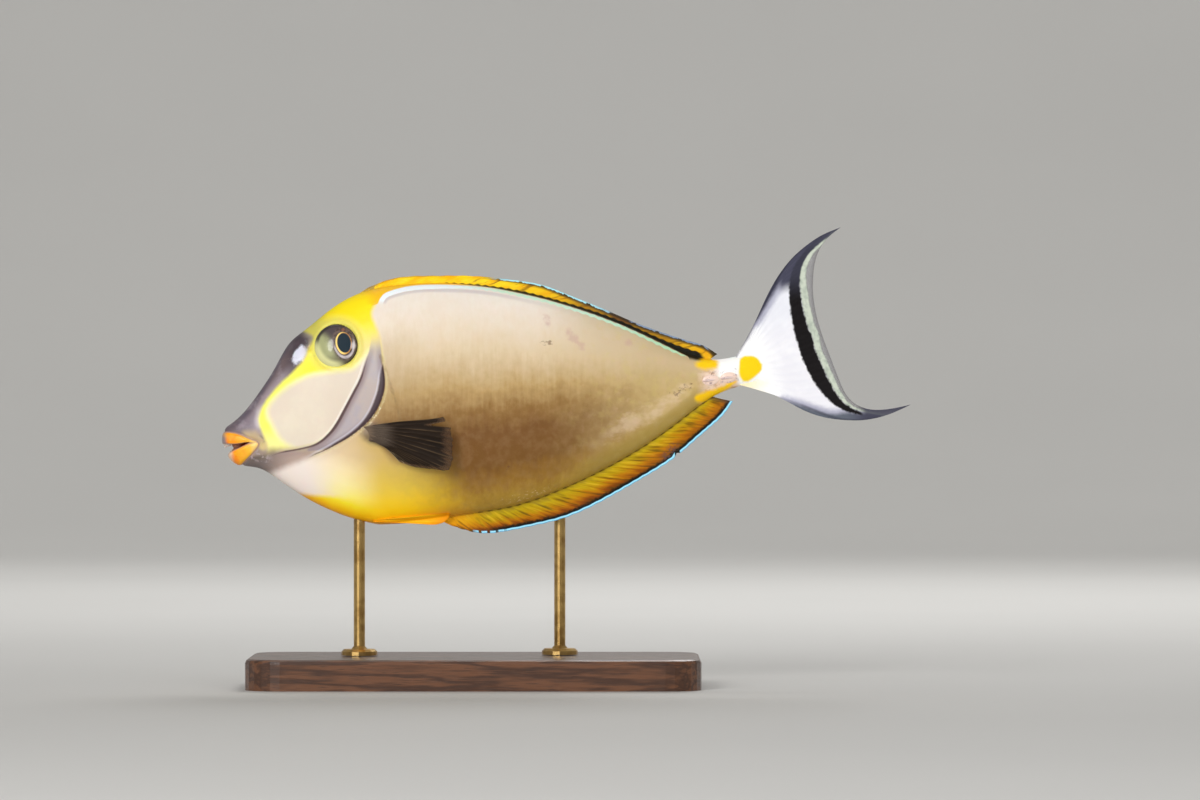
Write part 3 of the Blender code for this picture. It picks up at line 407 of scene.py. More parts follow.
class Paint:
    """A material in the making, with one Principled shader at its end."""

    def __init__(self, name, **constants):
        self.material = bpy.data.materials.new(name)
        self.material.use_nodes = True
        self.tree = self.material.node_tree
        self.shader = self.tree.nodes["Principled BSDF"]
        for socket, value in constants.items():
            self.shader.inputs[socket.replace("_", " ")].default_value = value

    def node(self, kind, settings=None, inputs=None, out=0):
        """Adds a node, makes its settings, then feeds its sockets with numbers, colours or links."""
        made = self.tree.nodes.new(kind)
        for name, value in (settings or {}).items():
            if name == "stops":
                self.set_stops(made.color_ramp, value)
            else:
                setattr(made, name, value)
        for socket, value in (inputs or {}).items():
            if isinstance(value, Amount):
                self.tree.links.new(value.socket, made.inputs[socket])
            else:
                made.inputs[socket].default_value = value
        return Amount(self, made.outputs[out])

    @staticmethod
    def set_stops(ramp, stops):
        """Places a colour ramp's stops, each a position and a colour."""
        while len(ramp.elements) < len(stops):
            ramp.elements.new(0.5)
        for element, (position, colour) in zip(ramp.elements, stops):
            element.position, element.color = position, colour

    def field(self, name):
        """A per-point number of the mesh."""
        return self.node("ShaderNodeAttribute", {"attribute_name": name}, out=2)

    def where(self, stretch=(1, 1, 1)):
        """The point's place in millimetres, stretched along each axis."""
        place = self.node("ShaderNodeTexCoord", out=3)
        scale = tuple(1000 * k for k in stretch)
        return self.node("ShaderNodeVectorMath", {"operation": "MULTIPLY"}, {0: place, 1: scale})

    def noise(self, size, detail=3.0, stretch=(1, 1, 1)):
        """Cloudy noise from 0 to 1, with patches of about this size in millimetres."""
        inputs = {"Vector": self.where(stretch), "Scale": 1 / size, "Detail": detail, "Roughness": 0.55}
        return self.node("ShaderNodeTexNoise", None, inputs)

    def along_rays(self, across, down):
        """Cloudy noise from 0 to 1 over two per-point numbers, one patch to a unit of each."""
        place = self.node("ShaderNodeCombineXYZ", None, {0: across, 1: down})
        return self.node("ShaderNodeTexNoise", None, {"Vector": place, "Scale": 1.0, "Detail": 3.0})

    def cells(self, size):
        """Distance within a pattern of cells of about this size in millimetres."""
        return self.node("ShaderNodeTexVoronoi", None, {"Vector": self.where(), "Scale": 1 / size})

    def step(self, value, low, high, start=0.0, end=1.0):
        """Smooth step from start at low to end at high."""
        settings = {"interpolation_type": "SMOOTHSTEP"}
        if low > high:
            low, high, start, end = high, low, end, start
        sockets = {"Value": value, "From Min": low, "From Max": high, "To Min": start, "To Max": end}
        return self.node("ShaderNodeMapRange", settings, sockets)

    def mix(self, first, second, factor):
        """First colour turning into the second as the factor goes from 0 to 1."""
        first, second = (hue(*c) if isinstance(c, tuple) else c for c in (first, second))
        return self.node("ShaderNodeMix", {"data_type": "RGBA"}, {0: factor, 6: first, 7: second}, out=2)

    def layers(self, colour, *over):
        """A colour with others laid over it in turn: each a colour, how strongly it covers, and where.

        Where is any number of amounts, or of values with the two places between which they turn from 0 to 1.
        """
        for above, cover, *places in over:
            for place in places:
                cover = cover * (self.step(*place) if isinstance(place, tuple) else place)
            colour = self.mix(colour, above, cover)
        return colour

    def near(self, value, middle, outer, inner):
        """1 close to a middle value, falling to 0 between the inner and the outer distance from it."""
        return self.step((value - middle).size(), outer, inner)

    def ramp(self, value, *stops):
        """Colours along a value from 0 to 1."""
        stops = [(place, hue(*seen)) for place, seen in stops]
        return self.node("ShaderNodeValToRGB", {"stops": stops}, {0: value})

    def feed(self, socket, value):
        """Leads a value or a colour into the shader."""
        self.tree.links.new(value.socket, self.shader.inputs[socket])

    def relief(self, height, depth, strength=1.0):
        """Bump from a height of 0 to 1 that is this many millimetres deep."""
        inputs = {"Height": height, "Distance": depth * MM, "Strength": strength}
        self.feed("Normal", self.node("ShaderNodeBump", None, inputs))


def away(first, second, place=(0, 0)):
    """Distance from a place, for two numbers that change over a surface."""
    return ((first - place[0]) ** 2 + (second - place[1]) ** 2) ** 0.5


def skin_paint():
    """Skin: pale above and brown below, yellow nape and band, grey snout and gill cover, golden belly."""
    p = Paint("fish_skin", Coat_Weight=0.06, Coat_Roughness=0.18, Specular_IOR_Level=0.3,
              Subsurface_Weight=0.12, Subsurface_Scale=0.003)
    share, along, height = p.field("share"), p.field("along"), p.field("height")
    low, deep = p.field("above_belly"), p.field("below_back")
    cloud, grain = p.noise(16, 4), p.noise(2.2, 4)
    streak, fine = p.noise(2.6, 3, (1, 1, 0.1)), p.noise(1.3, 2, (1, 1, 0.12))
    wobble = (grain - 0.5) * 0.9
    uneven = share + (cloud - 0.5) * 0.09 + (streak - 0.5) * 0.08 + (fine - 0.5) * 0.05
    colour = flank_colour(p, uneven, along, low, cloud, grain)
    colour = belly_colour(p, colour, along, low, height, cloud, grain)
    colour = brow_colour(p, colour, share, along, height, deep, cloud, wobble)
    colour = snout_colour(p, colour, along, height, low, deep, wobble)
    colour = gill_colour(p, colour, along, height, cloud, wobble)
    colour = crease_colour(p, colour, along, wobble)
    colour = line_colour(p, colour, share, along, wobble)
    colour = stalk_colour(p, colour, along, height, wobble)
    p.feed("Base Color", lip_colour(p, colour, along, height, wobble))
    p.feed("Roughness", p.step(p.field("mask"), 0.5, -0.5, 0.46, 0.34) + (grain - 0.5) * 0.14)
    p.relief(p.cells(0.55) * 0.5 + grain * 0.5, 0.05, 0.6)
    return p.material


def flank_colour(p, height, along, low, cloud, grain):
    """Flank by its share of height, lighter and greyer to the rear, mottled, with a pale streak and marks."""
    mottle, blotch = p.noise(3.2, 4), p.noise(6, 4)
    height = height + (mottle - 0.5) * 0.05 + (blotch - 0.5) * 0.05
    # front flank, brown low down, partly painted shade
    front = p.ramp(height, *FLANK_FRONT)
    rear = p.ramp(height, *FLANK_REAR)
    to_rear = p.step(along, 120, 165)
    streak = p.field("rear_streak")
    patchy = p.noise(2.4, 3, (0.6, 1, 1)) * 10 + blotch * 8 - 9
    pale = p.step(streak + patchy, 3.8, -1.4) * p.step(along, 142, 158)
    under = p.step(streak - 2, 0.5, 2.0) * p.step(low, 9.0, 4.0) * p.step(along, 128, 146)
    pink = p.step(p.field("pink_mark") + (grain - 0.5) * 3.0 + (mottle - 0.5) * 3.0, 2.0, 0.2)
    brown = p.step(p.field("brown_mark") + (p.noise(1.5, 4, (1, 1, 1.4)) - 0.5) * 7.0, 1.0, -0.2)
    scales = p.step(p.noise(1.2, 2), 0.56, 0.66) * p.near(low, 2.6, 1.8, 1.0) * p.near(along, 115, 12, 7)
    return p.layers(
        front,
        (rear, 0.95, (along + (cloud - 0.5) * 14 + (blotch - 0.5) * 16, 122, 184)),
        ((218, 190, 150), 0.07, (mottle, 0.36, 0.72), (height, 0.95, 0.5)),
        ((116, 84, 48), 0.08, (mottle, 0.62, 0.3), (height, 0.8, 0.4)),
        ((204, 180, 138), 0.4, (height, 0.6, 0.85), (along, 126, 150)),
        ((160, 130, 88), 0.2, (height, 0.86, 0.7), (along, 88, 68)),
        ((206, 188, 112), 0.22, (p.noise(3.6, 4), 0.5, 0.68), to_rear),
        ((214, 182, 152), 0.2, (p.noise(4.6, 4), 0.52, 0.7), to_rear),
        ((230, 204, 174), 0.46, pale),
        ((164, 138, 62), 0.6, under),
        ((198, 160, 152), 0.5, pink),
        ((104, 68, 46), 0.6, brown),
        ((224, 200, 150), 0.6, scales),
    )


def belly_colour(p, colour, along, low, height, cloud, grain):
    """Belly golden from its edge up, paler under the head, with a white throat and painted shade round the
    pectoral root.
    """
    mottle = p.noise(3.2, 4)
    rise_up = low / 32 + (cloud - 0.5) * 0.08 + (mottle - 0.5) * 0.05
    golden = p.mix(p.ramp(rise_up, *BELLY_FRONT), p.ramp(rise_up, *BELLY_REAR),
                   p.step(along + (cloud - 0.5) * 6, 44, 62))
    reach = p.step(along + low * 0.35 + (cloud - 0.5) * 10 + (mottle - 0.5) * 6, 101, 67)
    reach = reach * p.step(rise_up - p.step(along, 66, 56) * 0.4, 1.0, 0.66)
    line_up = height + along * 0.196 + 19.3 + (grain - 0.5) * 1.2
    throat = p.step(along + low * 0.1 + (cloud - 0.5) * 5, 50, 32) * p.step(line_up, -1.2, 1.2)
    # Painted shade on the skin round the pectoral fin's root
    stem = p.step(p.field("stem") + (mottle - 0.5) * 2, 5.6, 2.2)
    return p.layers(colour, (golden, 1, reach), ((242, 228, 218), 1, throat), ((94, 80, 70), 0.8, stem))


def brow_colour(p, colour, share, along, height, deep, cloud, wobble):
    """Nape and the band before the cheek yellow, paler beside the gill opening, and the cheek pale."""
    head, cheek = p.field("head") + wobble * 0.4, p.field("cheek") + wobble * 0.5
    band = p.step(along + wobble, 37, 28)
    front = p.step(along + deep * 0.35 + wobble, 50, 41) * p.step(deep + wobble, 9, 3)
    yellow = p.layers(
        (255, 228, 6),
        ((254, 196, 12), 1, (deep + wobble, 3.6, 0.4), (along, 56, 68)),
        ((255, 238, 56), 0.7, (along + wobble, 47, 40)),
        ((228, 220, 116), 0.75, (p.field("eye_far") + wobble, 13.5, 8.8)),
        ((196, 190, 92), 0.85, front),
        ((255, 252, 100), 1, band),
        ((252, 242, 170), 0.7, (height, 4, -4), band),
    )
    beside = p.step(along, 54, 64) * p.step(share, 0.88, 0.72)
    cheek_skin = p.layers(
        (232, 220, 199),
        ((223, 207, 190), 0.6, (cloud, 0.4, 0.66)),
        ((218, 202, 184), 0.5, (along, 38, 50)),
    )
    return p.layers(
        colour,
        (yellow, 1, (head, 1.2, -1.2)),
        ((226, 212, 168), 0.8, (head, 1.6, -0.8), beside),
        (p.mix((248, 240, 170), cheek_skin, p.step(cheek, 0.8, -2.2)), 1, (cheek, 1.7, -0.5)),
    )


def snout_colour(p, colour, along, height, low, deep, wobble):
    """Snout grey, darker at its outline and brow, with a painted brow highlight, a tan jaw corner, a brown
    chin.
    """
    mask, corner = p.field("mask") + wobble * 0.5, p.field("corner") + wobble * 0.5
    brow_highlight = p.field("brow_far") + (p.noise(2.0, 3) - 0.5) * 3.4
    # Where the pale rim beside the band lies, a painted highlight on the mask
    rim = p.step(mask, -2.4, -0.3) * p.step(height, 13, 9) * p.step(height, 1.5, 4.5)
    mask_skin = p.mix((118, 102, 104), (138, 125, 134), p.step(height, 13, 6))
    mask_skin = p.layers(
        p.mix((160, 147, 154), mask_skin, p.step(mask, -0.4, -4.2)),
        ((88, 80, 94), 0.75, (deep - p.step(along, 24, 14, 3.2, 4.4), 0.0, -2.8)),
        ((108, 92, 92), 0.5, (along, 12, 4)),
        ((176, 164, 172), 0.45, (p.noise(5, 3), 0.5, 0.74)),
        ((66, 56, 64), 0.85, (along + wobble, 25, 34)),
        # painted highlight on the brow
        ((236, 236, 252), 0.88, (brow_highlight, 4.0, 2.2)),
        ((166, 156, 138), 0.7, (mask, -3.0, -0.4), (along, 34, 40)),
        # pale rim beside the band, a painted highlight
        ((226, 216, 214), 0.55, rim),
        ((200, 175, 130), 0.85, (corner, 2.2, -1.2)),
        ((122, 108, 98), 0.5, p.near(corner, 0, 0.6, 0.1), (along, 14.4, 16.0)),
    )
    chin = p.field("chin") + wobble * 0.8
    fleck = p.step(p.noise(2.0, 3), 0.5, 0.64) * p.step(along, 20, 15) * p.step(along, 7, 10)
    chin_skin = p.layers(
        (172, 148, 136),
        ((94, 79, 78), 1, (along + wobble - low * 0.3, 24, 12)),
        ((180, 160, 136), 0.75, (height, -8.8, -6.8), (along, 21, 16)),
        ((204, 188, 196), 0.6, fleck, (low, 2.0, 4.0)),
    )
    behind_jaw = away(along, height, (16.2, -4.3))
    return p.layers(
        colour,
        (mask_skin, 1, (mask, 0.9, -0.9)),
        (chin_skin, 0.9, (chin, 2.2, -1.6)),
        ((226, 202, 138), 0.8, (behind_jaw + wobble, 2.8, 0.6)),
    )


def gill_colour(p, colour, along, height, cloud, wobble):
    """Gill cover lilac, paler at its top, with a dark edge, pale specks on it and a soft shade behind it."""
    plate, gill = p.field("plate"), p.field("gill_edge")
    gill_on, gill_wide = p.field("gill_on"), p.field("gill_wide")
    plate_skin = p.mix((188, 174, 168), (174, 166, 176), p.step(cloud + wobble * 0.2, 0.46, 0.62) * 0.7)
    plate_skin = p.mix((158, 144, 148), plate_skin, p.step(plate, -0.8, -3.0))
    plate_skin = p.mix(plate_skin, (206, 188, 154), p.step(height, 22, 33) * 0.85)
    dark_edge = p.step(gill + wobble * 0.5 + gill_wide, -0.3, 0.5) * p.step(gill, 0.45, 0.1)
    skirt = p.step(gill, 0.4, 0.8) * p.step(gill + wobble, 1.8, 1.0)
    speck = p.step(p.noise(0.9, 2), 0.56, 0.64) * p.near(gill, 0.8, 0.9, 0.5) * p.step(height, 12, 5)
    shade = p.step(gill, 4.8, 0.3) * p.step(gill, -0.2, 0.4) * p.step(height, 4, -3) * p.step(along, 30, 36)
    # Painted highlight along the inside of the gill cover's raised dark edge
    inner = p.near(gill + gill_wide, -0.5, 0.5, 0.1) * p.step(height, 21, 16)
    return p.layers(
        colour,
        (plate_skin, 1, (plate, 0.4, -0.4), (height, 34, 26)),
        ((60, 42, 48), 0.94, dark_edge),
        ((232, 218, 160), 0.3, skirt, gill_on),
        ((238, 228, 190), 0.6, speck, gill_on),
        ((196, 170, 140), 0.3, shade, gill_on),
        # painted highlight inside the dark edge
        ((214, 212, 226), 0.45, inner, gill_on),
    )


def crease_colour(p, colour, along, wobble):
    """Crease behind the cheek dark, with a soft shade behind and a lit edge before it, and a faint scar."""
    line, line_on, line_wide = p.field("cheek_line"), p.field("line_on"), p.field("line_wide")
    soft = p.step(line, 3.6, 0.4) * p.step(line, -0.2, 0.3) * line_on
    crease = p.step((line - 0.4).size() - line_wide + wobble * 0.2, 0.1, -0.5)
    lit = p.mix((228, 212, 168), (252, 247, 240), p.step(along, 32, 44))
    scar = p.step(p.field("scar") + wobble * 1.4, 1.0, 0.2) * p.step(p.noise(3.2, 2), 0.3, 0.55)
    return p.layers(
        colour,
        ((146, 124, 122), 0.55, soft),
        ((92, 68, 68), 0.92, crease),
        (lit, 0.5, p.near(line, -0.55, 0.6, 0.2), line_on),
        ((132, 106, 70), 0.42, scar),
    )


def line_colour(p, colour, share, along, wobble):
    """Pale line under the dorsal fin, blue-white in front and mint behind, with orange above it in front."""
    pale, on = p.field("pale_line"), p.step(p.field("pale_on"), 0.0, 0.02)
    scallop = (along * 2.1).wave() * p.step(along, 96, 110) * 0.16
    shadow = p.step(pale, 1.3, 1.9) * p.step(pale, 3.4, 2.3) * on * p.step(along, 150, 100)
    mint = p.mix((212, 243, 218), (190, 232, 192), p.step(along, 140, 180))
    wide = p.step(along, 86, 106, 1.75, 1.1) - p.step(along, 176, 186) * 0.7
    line = p.step(pale + scallop, -0.05, 0.15) * p.step(pale + wobble * 0.35 + scallop - wide, 0.2, -0.2) * on
    top_share = share - p.step(along, 181, 186) * 0.08
    above = p.step(pale, 0.05, -0.3) * p.step(top_share, 0.8, 0.88) * p.step(along, 62, 68)
    return p.layers(
        colour,
        ((168, 156, 168), 0.4, shadow),
        (p.mix((244, 252, 255), mint, p.step(along, 92, 118)), 1, line),
        ((255, 196, 24), 1, above, (along, 118, 100)),
        ((30, 28, 16), 1, above, (along, 96, 112)),
        ((246, 170, 14), 1, above, (along, 188.5, 191)),
    )


def stalk_colour(p, colour, along, height, wobble):
    """Tail stalk: white above, pinkish between, with golden streaks, a yellow patch and small dark marks."""
    ragged = along + wobble
    pink = p.step(ragged, 185, 192) * p.step(height, 3.4, 1.0) * p.step(ragged, 205, 202.5)
    pink_skin = p.mix((244, 214, 196), (214, 178, 150), p.step(p.noise(2.6, 3), 0.48, 0.66))
    upper = p.step(height + wobble, -2.4, -0.6).larger(p.step(along, 201, 204))
    marks = p.step(p.noise(1.9, 3), 0.54, 0.66) * p.step(along, 186, 191) * p.near(height, -1.0, 3.0, 1.4)
    mark_skin = p.mix((150, 116, 100), (124, 106, 128), p.step(along, 193, 197))
    return p.layers(
        colour,
        (pink_skin, 0.85, pink),
        ((255, 254, 250), 1, (along + wobble * 2, 192.5, 197), upper),
        (mark_skin, 0.8, marks),
        ((255, 206, 10), 1, (p.field("streak_top") + wobble * 2.2, 1.3, -0.9)),
        ((255, 204, 8), 1, (p.field("streak_low") + wobble * 1.6, 0.9, -0.9)),
        ((255, 216, 12), 1, (p.field("patch") + wobble * 0.6, 0.75, -0.35)),
    )


def lip_colour(p, colour, along, height, wobble):
    """Lips orange, yellower towards the corner and grey at their tips, with a dark gap between them."""
    lips, ragged = p.field("lips") + wobble * 0.3, along + wobble
    upper_tip = p.mix((136, 136, 146), (206, 164, 122), p.step(height, 0.4, 2.6))
    tip_skin = p.mix((236, 208, 178), upper_tip, p.step(height, -4.0, -2.0))
    lip_skin = p.layers(
        (255, 172, 34),
        ((255, 138, 18), 1, (p.noise(5, 2), 0.4, 0.65)),
        ((255, 204, 66), 0.7, (along, 4.5, 11)),
        ((255, 222, 144), 0.75, (ragged, 10.2, 13.0)),
        (tip_skin, 0.9, (ragged - p.step(height, -3, -4.6) * 1.6, 3.0, 1.2)),
    )
    return p.layers(
        colour,
        (p.mix((176, 140, 126), lip_skin, p.step(lips, 0.1, -0.6)), 1, (lips, 0.6, 0.0)),
        (p.mix((120, 34, 14), (160, 112, 92), p.step(along, 7.4, 4.4)), 1, (p.field("mouth"), 0.15, -0.25)),
    )


def body_rings():
    """Rings round the body, height by the turn's cosine and width by its sine, and where each point faces."""
    nose = NOSE_ROUND * (1 - np.cos(np.linspace(0.03, 1, NOSE_ROWS) * math.pi / 2))
    lips = np.linspace(NOSE_ROUND, LIP_END, LIP_ROWS + 1)[1:]
    head = np.linspace(LIP_END, HEAD_END, HEAD_ROWS + 1)[1:]
    rest = np.linspace(HEAD_END, BODY_END, BODY_ROWS + 1)[1:]
    stations = np.concatenate([nose, lips, head, rest])
    t = np.linspace(0, 1, AROUND, endpoint=False)
    turn = TURN * t + CROWDING / 2 * np.sin(2 * TURN * t)
    middle, half_height, width = (a[:, None] for a in outline(stations))
    s = np.broadcast_to(stations[:, None], (len(stations), AROUND))
    h = middle + half_height * np.cos(turn)
    y = width * np.sign(np.sin(turn)) * np.abs(np.sin(turn)) ** SECTION_FULLNESS
    base = np.stack([s, y, h], axis=-1)
    normal = np.cross(np.gradient(base, axis=0), np.roll(base, -1, axis=1) - np.roll(base, 1, axis=1))
    normal /= np.maximum(np.linalg.norm(normal, axis=-1, keepdims=True), 1e-9)
    outward = base - np.stack([s, 0 * y, middle + 0 * h], axis=-1)
    normal *= np.where(np.sum(normal * outward, axis=-1, keepdims=True) < 0, -1, 1)
    return base, normal, middle


def skin_places(s, h):
    """Per-point numbers of the skin: heights, and distances in side view from its lines and patches."""
    top, low = spline(BACK, s), spline(BELLY, s)
    gill, gill_share = nearest(s, h, softened(GILL_EDGE, 2, False))
    line, line_share = nearest(s, h, softened(CHEEK_LINE, 2, False))
    pale, pale_share = nearest(s, h, softened(PALE_LINE, 2, False))
    before_gill = region(s, h, [*GILL_EDGE, *BEFORE_GILL]) < 0
    before_cheek = region(s, h, [*CHEEK_LINE, *BEFORE_CHEEK]) < 0
    under_line = region(s, h, [*PALE_LINE, *UNDER_LINE], 0) < 0
    slope = (s - BROW_HIGHLIGHT_AT[0] + h - BROW_HIGHLIGHT_AT[1]) / 2**0.5
    across_slope = (s - BROW_HIGHLIGHT_AT[0] - h + BROW_HIGHLIGHT_AT[1]) / 2**0.5
    return {
        "share": np.clip((h - low) / (top - low), 0, 1),
        "along": s,
        "height": h,
        "above_belly": h - low,
        "below_back": top - h,
        "head": region(s, h, [*GILL_EDGE[:8], *CHEEK_LINE[1:], *HEAD_FRONT]),
        "cheek": region(s, h, [*BAND_REAR, *CHEEK_BACK], 1),
        "mask": region(s, h, [*MASK_TOP, *BAND_FRONT[1:], *MASK_FRONT]),
        "plate": region(s, h, [*PLATE_TOP, *GILL_EDGE[5:-2], PLATE_LOW, *CHEEK_LINE[-4::-1]], 1),
        "brow_far": np.hypot(slope / BROW_LONG, across_slope / BROW_ACROSS),
        "corner": region(s, h, JAW_CORNER, 0),
        "scar": nearest(s, h, softened(SCAR, 2, False))[0],
        "stem": nearest(s, h, PECTORAL_SHADE_PATH)[0],
        "rear_streak": nearest(s, h, REAR_STREAK)[0],
        "pink_mark": np.min([nearest(s, h, mark)[0] for mark in PINK_MARKS], axis=0),
        "brown_mark": np.min([nearest(s, h, mark)[0] for mark in BROWN_MARKS], axis=0),
        "chin": region(s, h, CHIN),
        "gill_edge": np.where(before_gill, -gill, gill),
        "gill_on": rise(gill_share, 0.33, 0.52) * (1 - rise(gill_share, 0.93, 1.0)),
        "gill_wide": np.interp(gill_share, *np.transpose(GILL_WIDTH)),
        "line_wide": np.interp(line_share, *np.transpose(CHEEK_WIDTH)),
        "cheek_line": np.where(before_cheek, -line, line),
        "line_on": rise(line_share, 0.03, 0.14) * (1 - rise(line_share, 0.82, 0.95)),
        "eye_far": np.hypot(s - EYE_CENTRE[0], h - EYE_CENTRE[1]),
        "pale_line": np.where(under_line, pale, -pale),
        "pale_on": pale_share * (1 - pale_share),
        "streak_top": region(s, h, STREAK_TOP),
        "streak_low": region(s, h, STREAK_LOW),
        "patch": region(s, h, TAIL_PATCH, 1),
        "lips": np.minimum(region(s, h, UPPER_LIP), region(s, h, LOWER_LIP)),
        "mouth": region(s, h, MOUTH, 1),
    }


def skin_relief(s, h, at):
    """How far the skin stands out, as a sum of steps and bells that fades in at the nose.

    Steps lie across the edges of gill cover, cheek, lips, eye and mouth, and bells along the grooves beside
    them and over brow, nostrils, shoulder and keel.
    """
    gill, line, eye_far, lips = at["gill_edge"], at["cheek_line"], at["eye_far"], at["lips"]
    cover = COVER_STEP * (1 - rise(gill, -0.25, 0.35)) * np.exp(np.minimum(gill, 0) / COVER_FADE)
    cheek = CHEEK_STEP * (1 - rise(line, -0.2, 0.35)) * np.exp(np.minimum(line, 0) / CHEEK_FADE)
    lift = (cover - COVER_GROOVE * bell(gill - 0.7, 0.6)) * at["gill_on"]
    lift = lift + (cheek - CHEEK_GROOVE * bell(line - 0.6, 0.45)) * at["line_on"]
    lift = lift + BROW_SWELL * bell(at["brow_far"], 4.2) - SCAR_GROOVE * bell(at["scar"], 0.5)
    socket = 1 - rise(eye_far, 6.6, EYE_OPENING + 0.15)
    lift = lift + ORBIT_RIM * bell(eye_far - 9.1, 0.8) - ORBIT_DEPTH * socket
    lift = lift + LIP_SWELL * (1 - rise(lips, -1.3, 0.05)) - LIP_GROOVE * bell(lips - 0.3, 0.4)
    lift = lift - CORNER_GROOVE * bell(at["corner"], 0.4) * rise(s, 14.6, 15.8)
    lift = lift - MOUTH_DEPTH * (1 - rise(at["mouth"], -0.7, 0.05))
    for hole_s, hole_h, radius in NOSTRILS:
        far = np.hypot(s - hole_s, h - hole_h)
        lift = lift - NOSTRIL_DEPTH * bell(far, radius) + NOSTRIL_RIM * bell(far - 2 * radius, 0.35)
    shoulder = np.hypot((s - SHOULDER[0]) / 1.5, h - SHOULDER[1])
    keel = np.hypot((s - KEEL[0]) / 1.4, h - KEEL[1])
    lift = lift + SHOULDER_SWELL * bell(shoulder, 3.2) * (gill > 0) + KEEL_SWELL * bell(keel, 2.6)
    return np.minimum(lift, 0) + np.maximum(lift, 0) * (1 - bell(s, 1.2))


def skin():
    """The body's rings moved along their normals by the relief, closed by a point at the mouth and behind."""
    base, normal, middle = body_rings()
    s, h = base[..., 0], base[..., 2]
    places = skin_places(s, h)
    shaped = base + normal * skin_relief(s, h, places)[..., None]
    points = to_world(*np.moveaxis(shaped, -1, 0)).reshape(-1, 3)
    ends = to_world(np.array(SKIN_ENDS), 0, middle[[0, -1], 0])
    flat = {name: np.ravel(values) for name, values in places.items()}
    fields = {name: np.concatenate([values, values[:1], values[-1:]]) for name, values in flat.items()}
    piece("fish_skin", np.vstack([points, ends]), capped_faces(*s.shape), fields, skin_paint(), "flank_skin",
          "head", "trunk", "tail_stalk", "upper_lip", "lower_lip", "gill_cover_left", "gill_cover_right")


def eye_paint():
    """Glossy eye: blue-black pupil, gold ring, pale ring below and behind, olive in front, brown above."""
    p = Paint("fish_eye", Roughness=0.25, Specular_IOR_Level=0.3, Coat_Weight=0.3, Coat_Roughness=0.03)
    a, b, fibre = p.field("along_eye"), p.field("up_eye"), p.noise(1.1, 4)
    rim, ring = away(a, b), away((a - 2.75) / 2.55, (b - 0.15) / 3.75)
    # Olive in front, partly the eye's own colour and partly a painted sheen
    base = p.mix((88, 80, 76), (168, 170, 124), p.step(a + b * 0.35 + (fibre - 0.5) * 2, 0.2, -4.6))
    iris = p.mix((116, 98, 92), (70, 58, 54), p.step(fibre, 0.35, 0.65))
    # Pale ring below and behind the pupil, partly the eye's own colour and partly a painted reflection
    pale = p.near(ring, 1.5, 0.2, 0.06) * p.step(b - a * 0.25, 0.4, -1.6)
    gold = p.mix((214, 150, 70), (255, 222, 130), p.step(a, 4.4, 1.2))
    gold_wide = p.step(a, 4.6, 0.4, 0.03, 0.13) * p.step(b, 4.4, 2.0, 0.6, 1.0)
    p.feed("Base Color", p.layers(
        base,
        ((80, 70, 72), 0.9, (b + a * 0.3, 1.5, 5.5)),
        ((112, 106, 84), 0.7, (b, -3.0, -6.5)),
        ((44, 38, 36), 0.85, (rim, 6.8, 7.9), (a * 0.9 + b, -7.5, -2.5)),
        # pale wedge at the front of the rim, a painted sheen
        ((232, 230, 168), 0.8, (rim, 5.6, 7.4), (a * 0.9 + b * 0.8, -3.5, -8.0)),
        (iris, 0.85, (ring, 2.0, 1.6)),
        ((208, 198, 202), 1, pale, p.step(fibre, 0.3, 0.6) * 0.4 + 0.5),
        # painted highlight below and behind the pupil
        ((220, 212, 216), 0.8, (away(a, b, (5.8, -1.2)), 1.9, 0.5)),
        ((176, 110, 80), 0.5, (away(a, b, (3.0, 5.6)), 1.0, 0.3)),
        (gold, 1, ((ring - 1.13).size() - gold_wide, 0.05, -0.04)),
        ((36, 50, 60), 1, (ring, 1.06, 0.98)),
    ))
    return p.material


def eyeball(name, side, material):
    """Flattened ball on an axis that leans up: radius by the sine of the latitude, depth by its cosine."""
    s, h = EYE_CENTRE
    axis = np.array([0, side * math.cos(EYE_UP_TILT), math.sin(EYE_UP_TILT)])
    first = np.array([1.0, 0.0, 0.0])
    second = np.cross(first, axis) * side
    centre = np.array([s, side * float(half_width(s, h)), h]) - axis * EYE_SINK
    a, b = latitudes(39, 72)
    along, up = EYE_RADIUS * np.sin(a) * np.cos(b), EYE_RADIUS * np.sin(a) * np.sin(b)
    ring = along[..., None] * first + up[..., None] * second + (EYE_DEPTH * np.cos(a))[..., None] * axis
    points = np.vstack([(centre + ring).reshape(-1, 3), centre + EYE_DEPTH * axis, centre - EYE_DEPTH * axis])
    fields = {"along_eye": np.append(along, [0, 0]), "up_eye": np.append(up, [0, 0])}
    piece(name, to_world(*points.T), capped_faces(*a.shape), fields, material, "eye_gloss", name)


def slab(name, middle, half, fields, material, slot, *nodes):
    """A closed sheet: a grid of middle points moved to both sides by half the thickness, its rim joined."""
    rows, columns = middle.shape[:2]
    out = half[..., None] * np.array([0, 1.0, 0])
    points = np.concatenate([middle + out, middle - out]).reshape(-1, 3)
    n = rows * columns
    front = grid_faces(rows, columns)
    index = np.arange(n).reshape(rows, columns)
    rim = np.concatenate([index[:, 0], index[-1, 1:], index[-2::-1, -1], index[0, -2:0:-1]])
    after = np.roll(rim, -1)
    sides = np.stack([rim, rim + n, after + n, after], axis=1)
    whole = {key: np.ravel(np.broadcast_to(values, (rows, columns))) for key, values in fields.items()}
    doubled = {key: np.concatenate([values, values]) for key, values in whole.items()}
    faces = np.vstack([front, front[:, ::-1] + n, sides])
    piece(name, to_world(*points.T), faces, doubled, material, slot, *nodes)


def ridges(phase, width):
    """Rays as ridges: 1 on each whole number of the phase, falling off as a bell."""
    return bell(phase - np.round(phase), width)


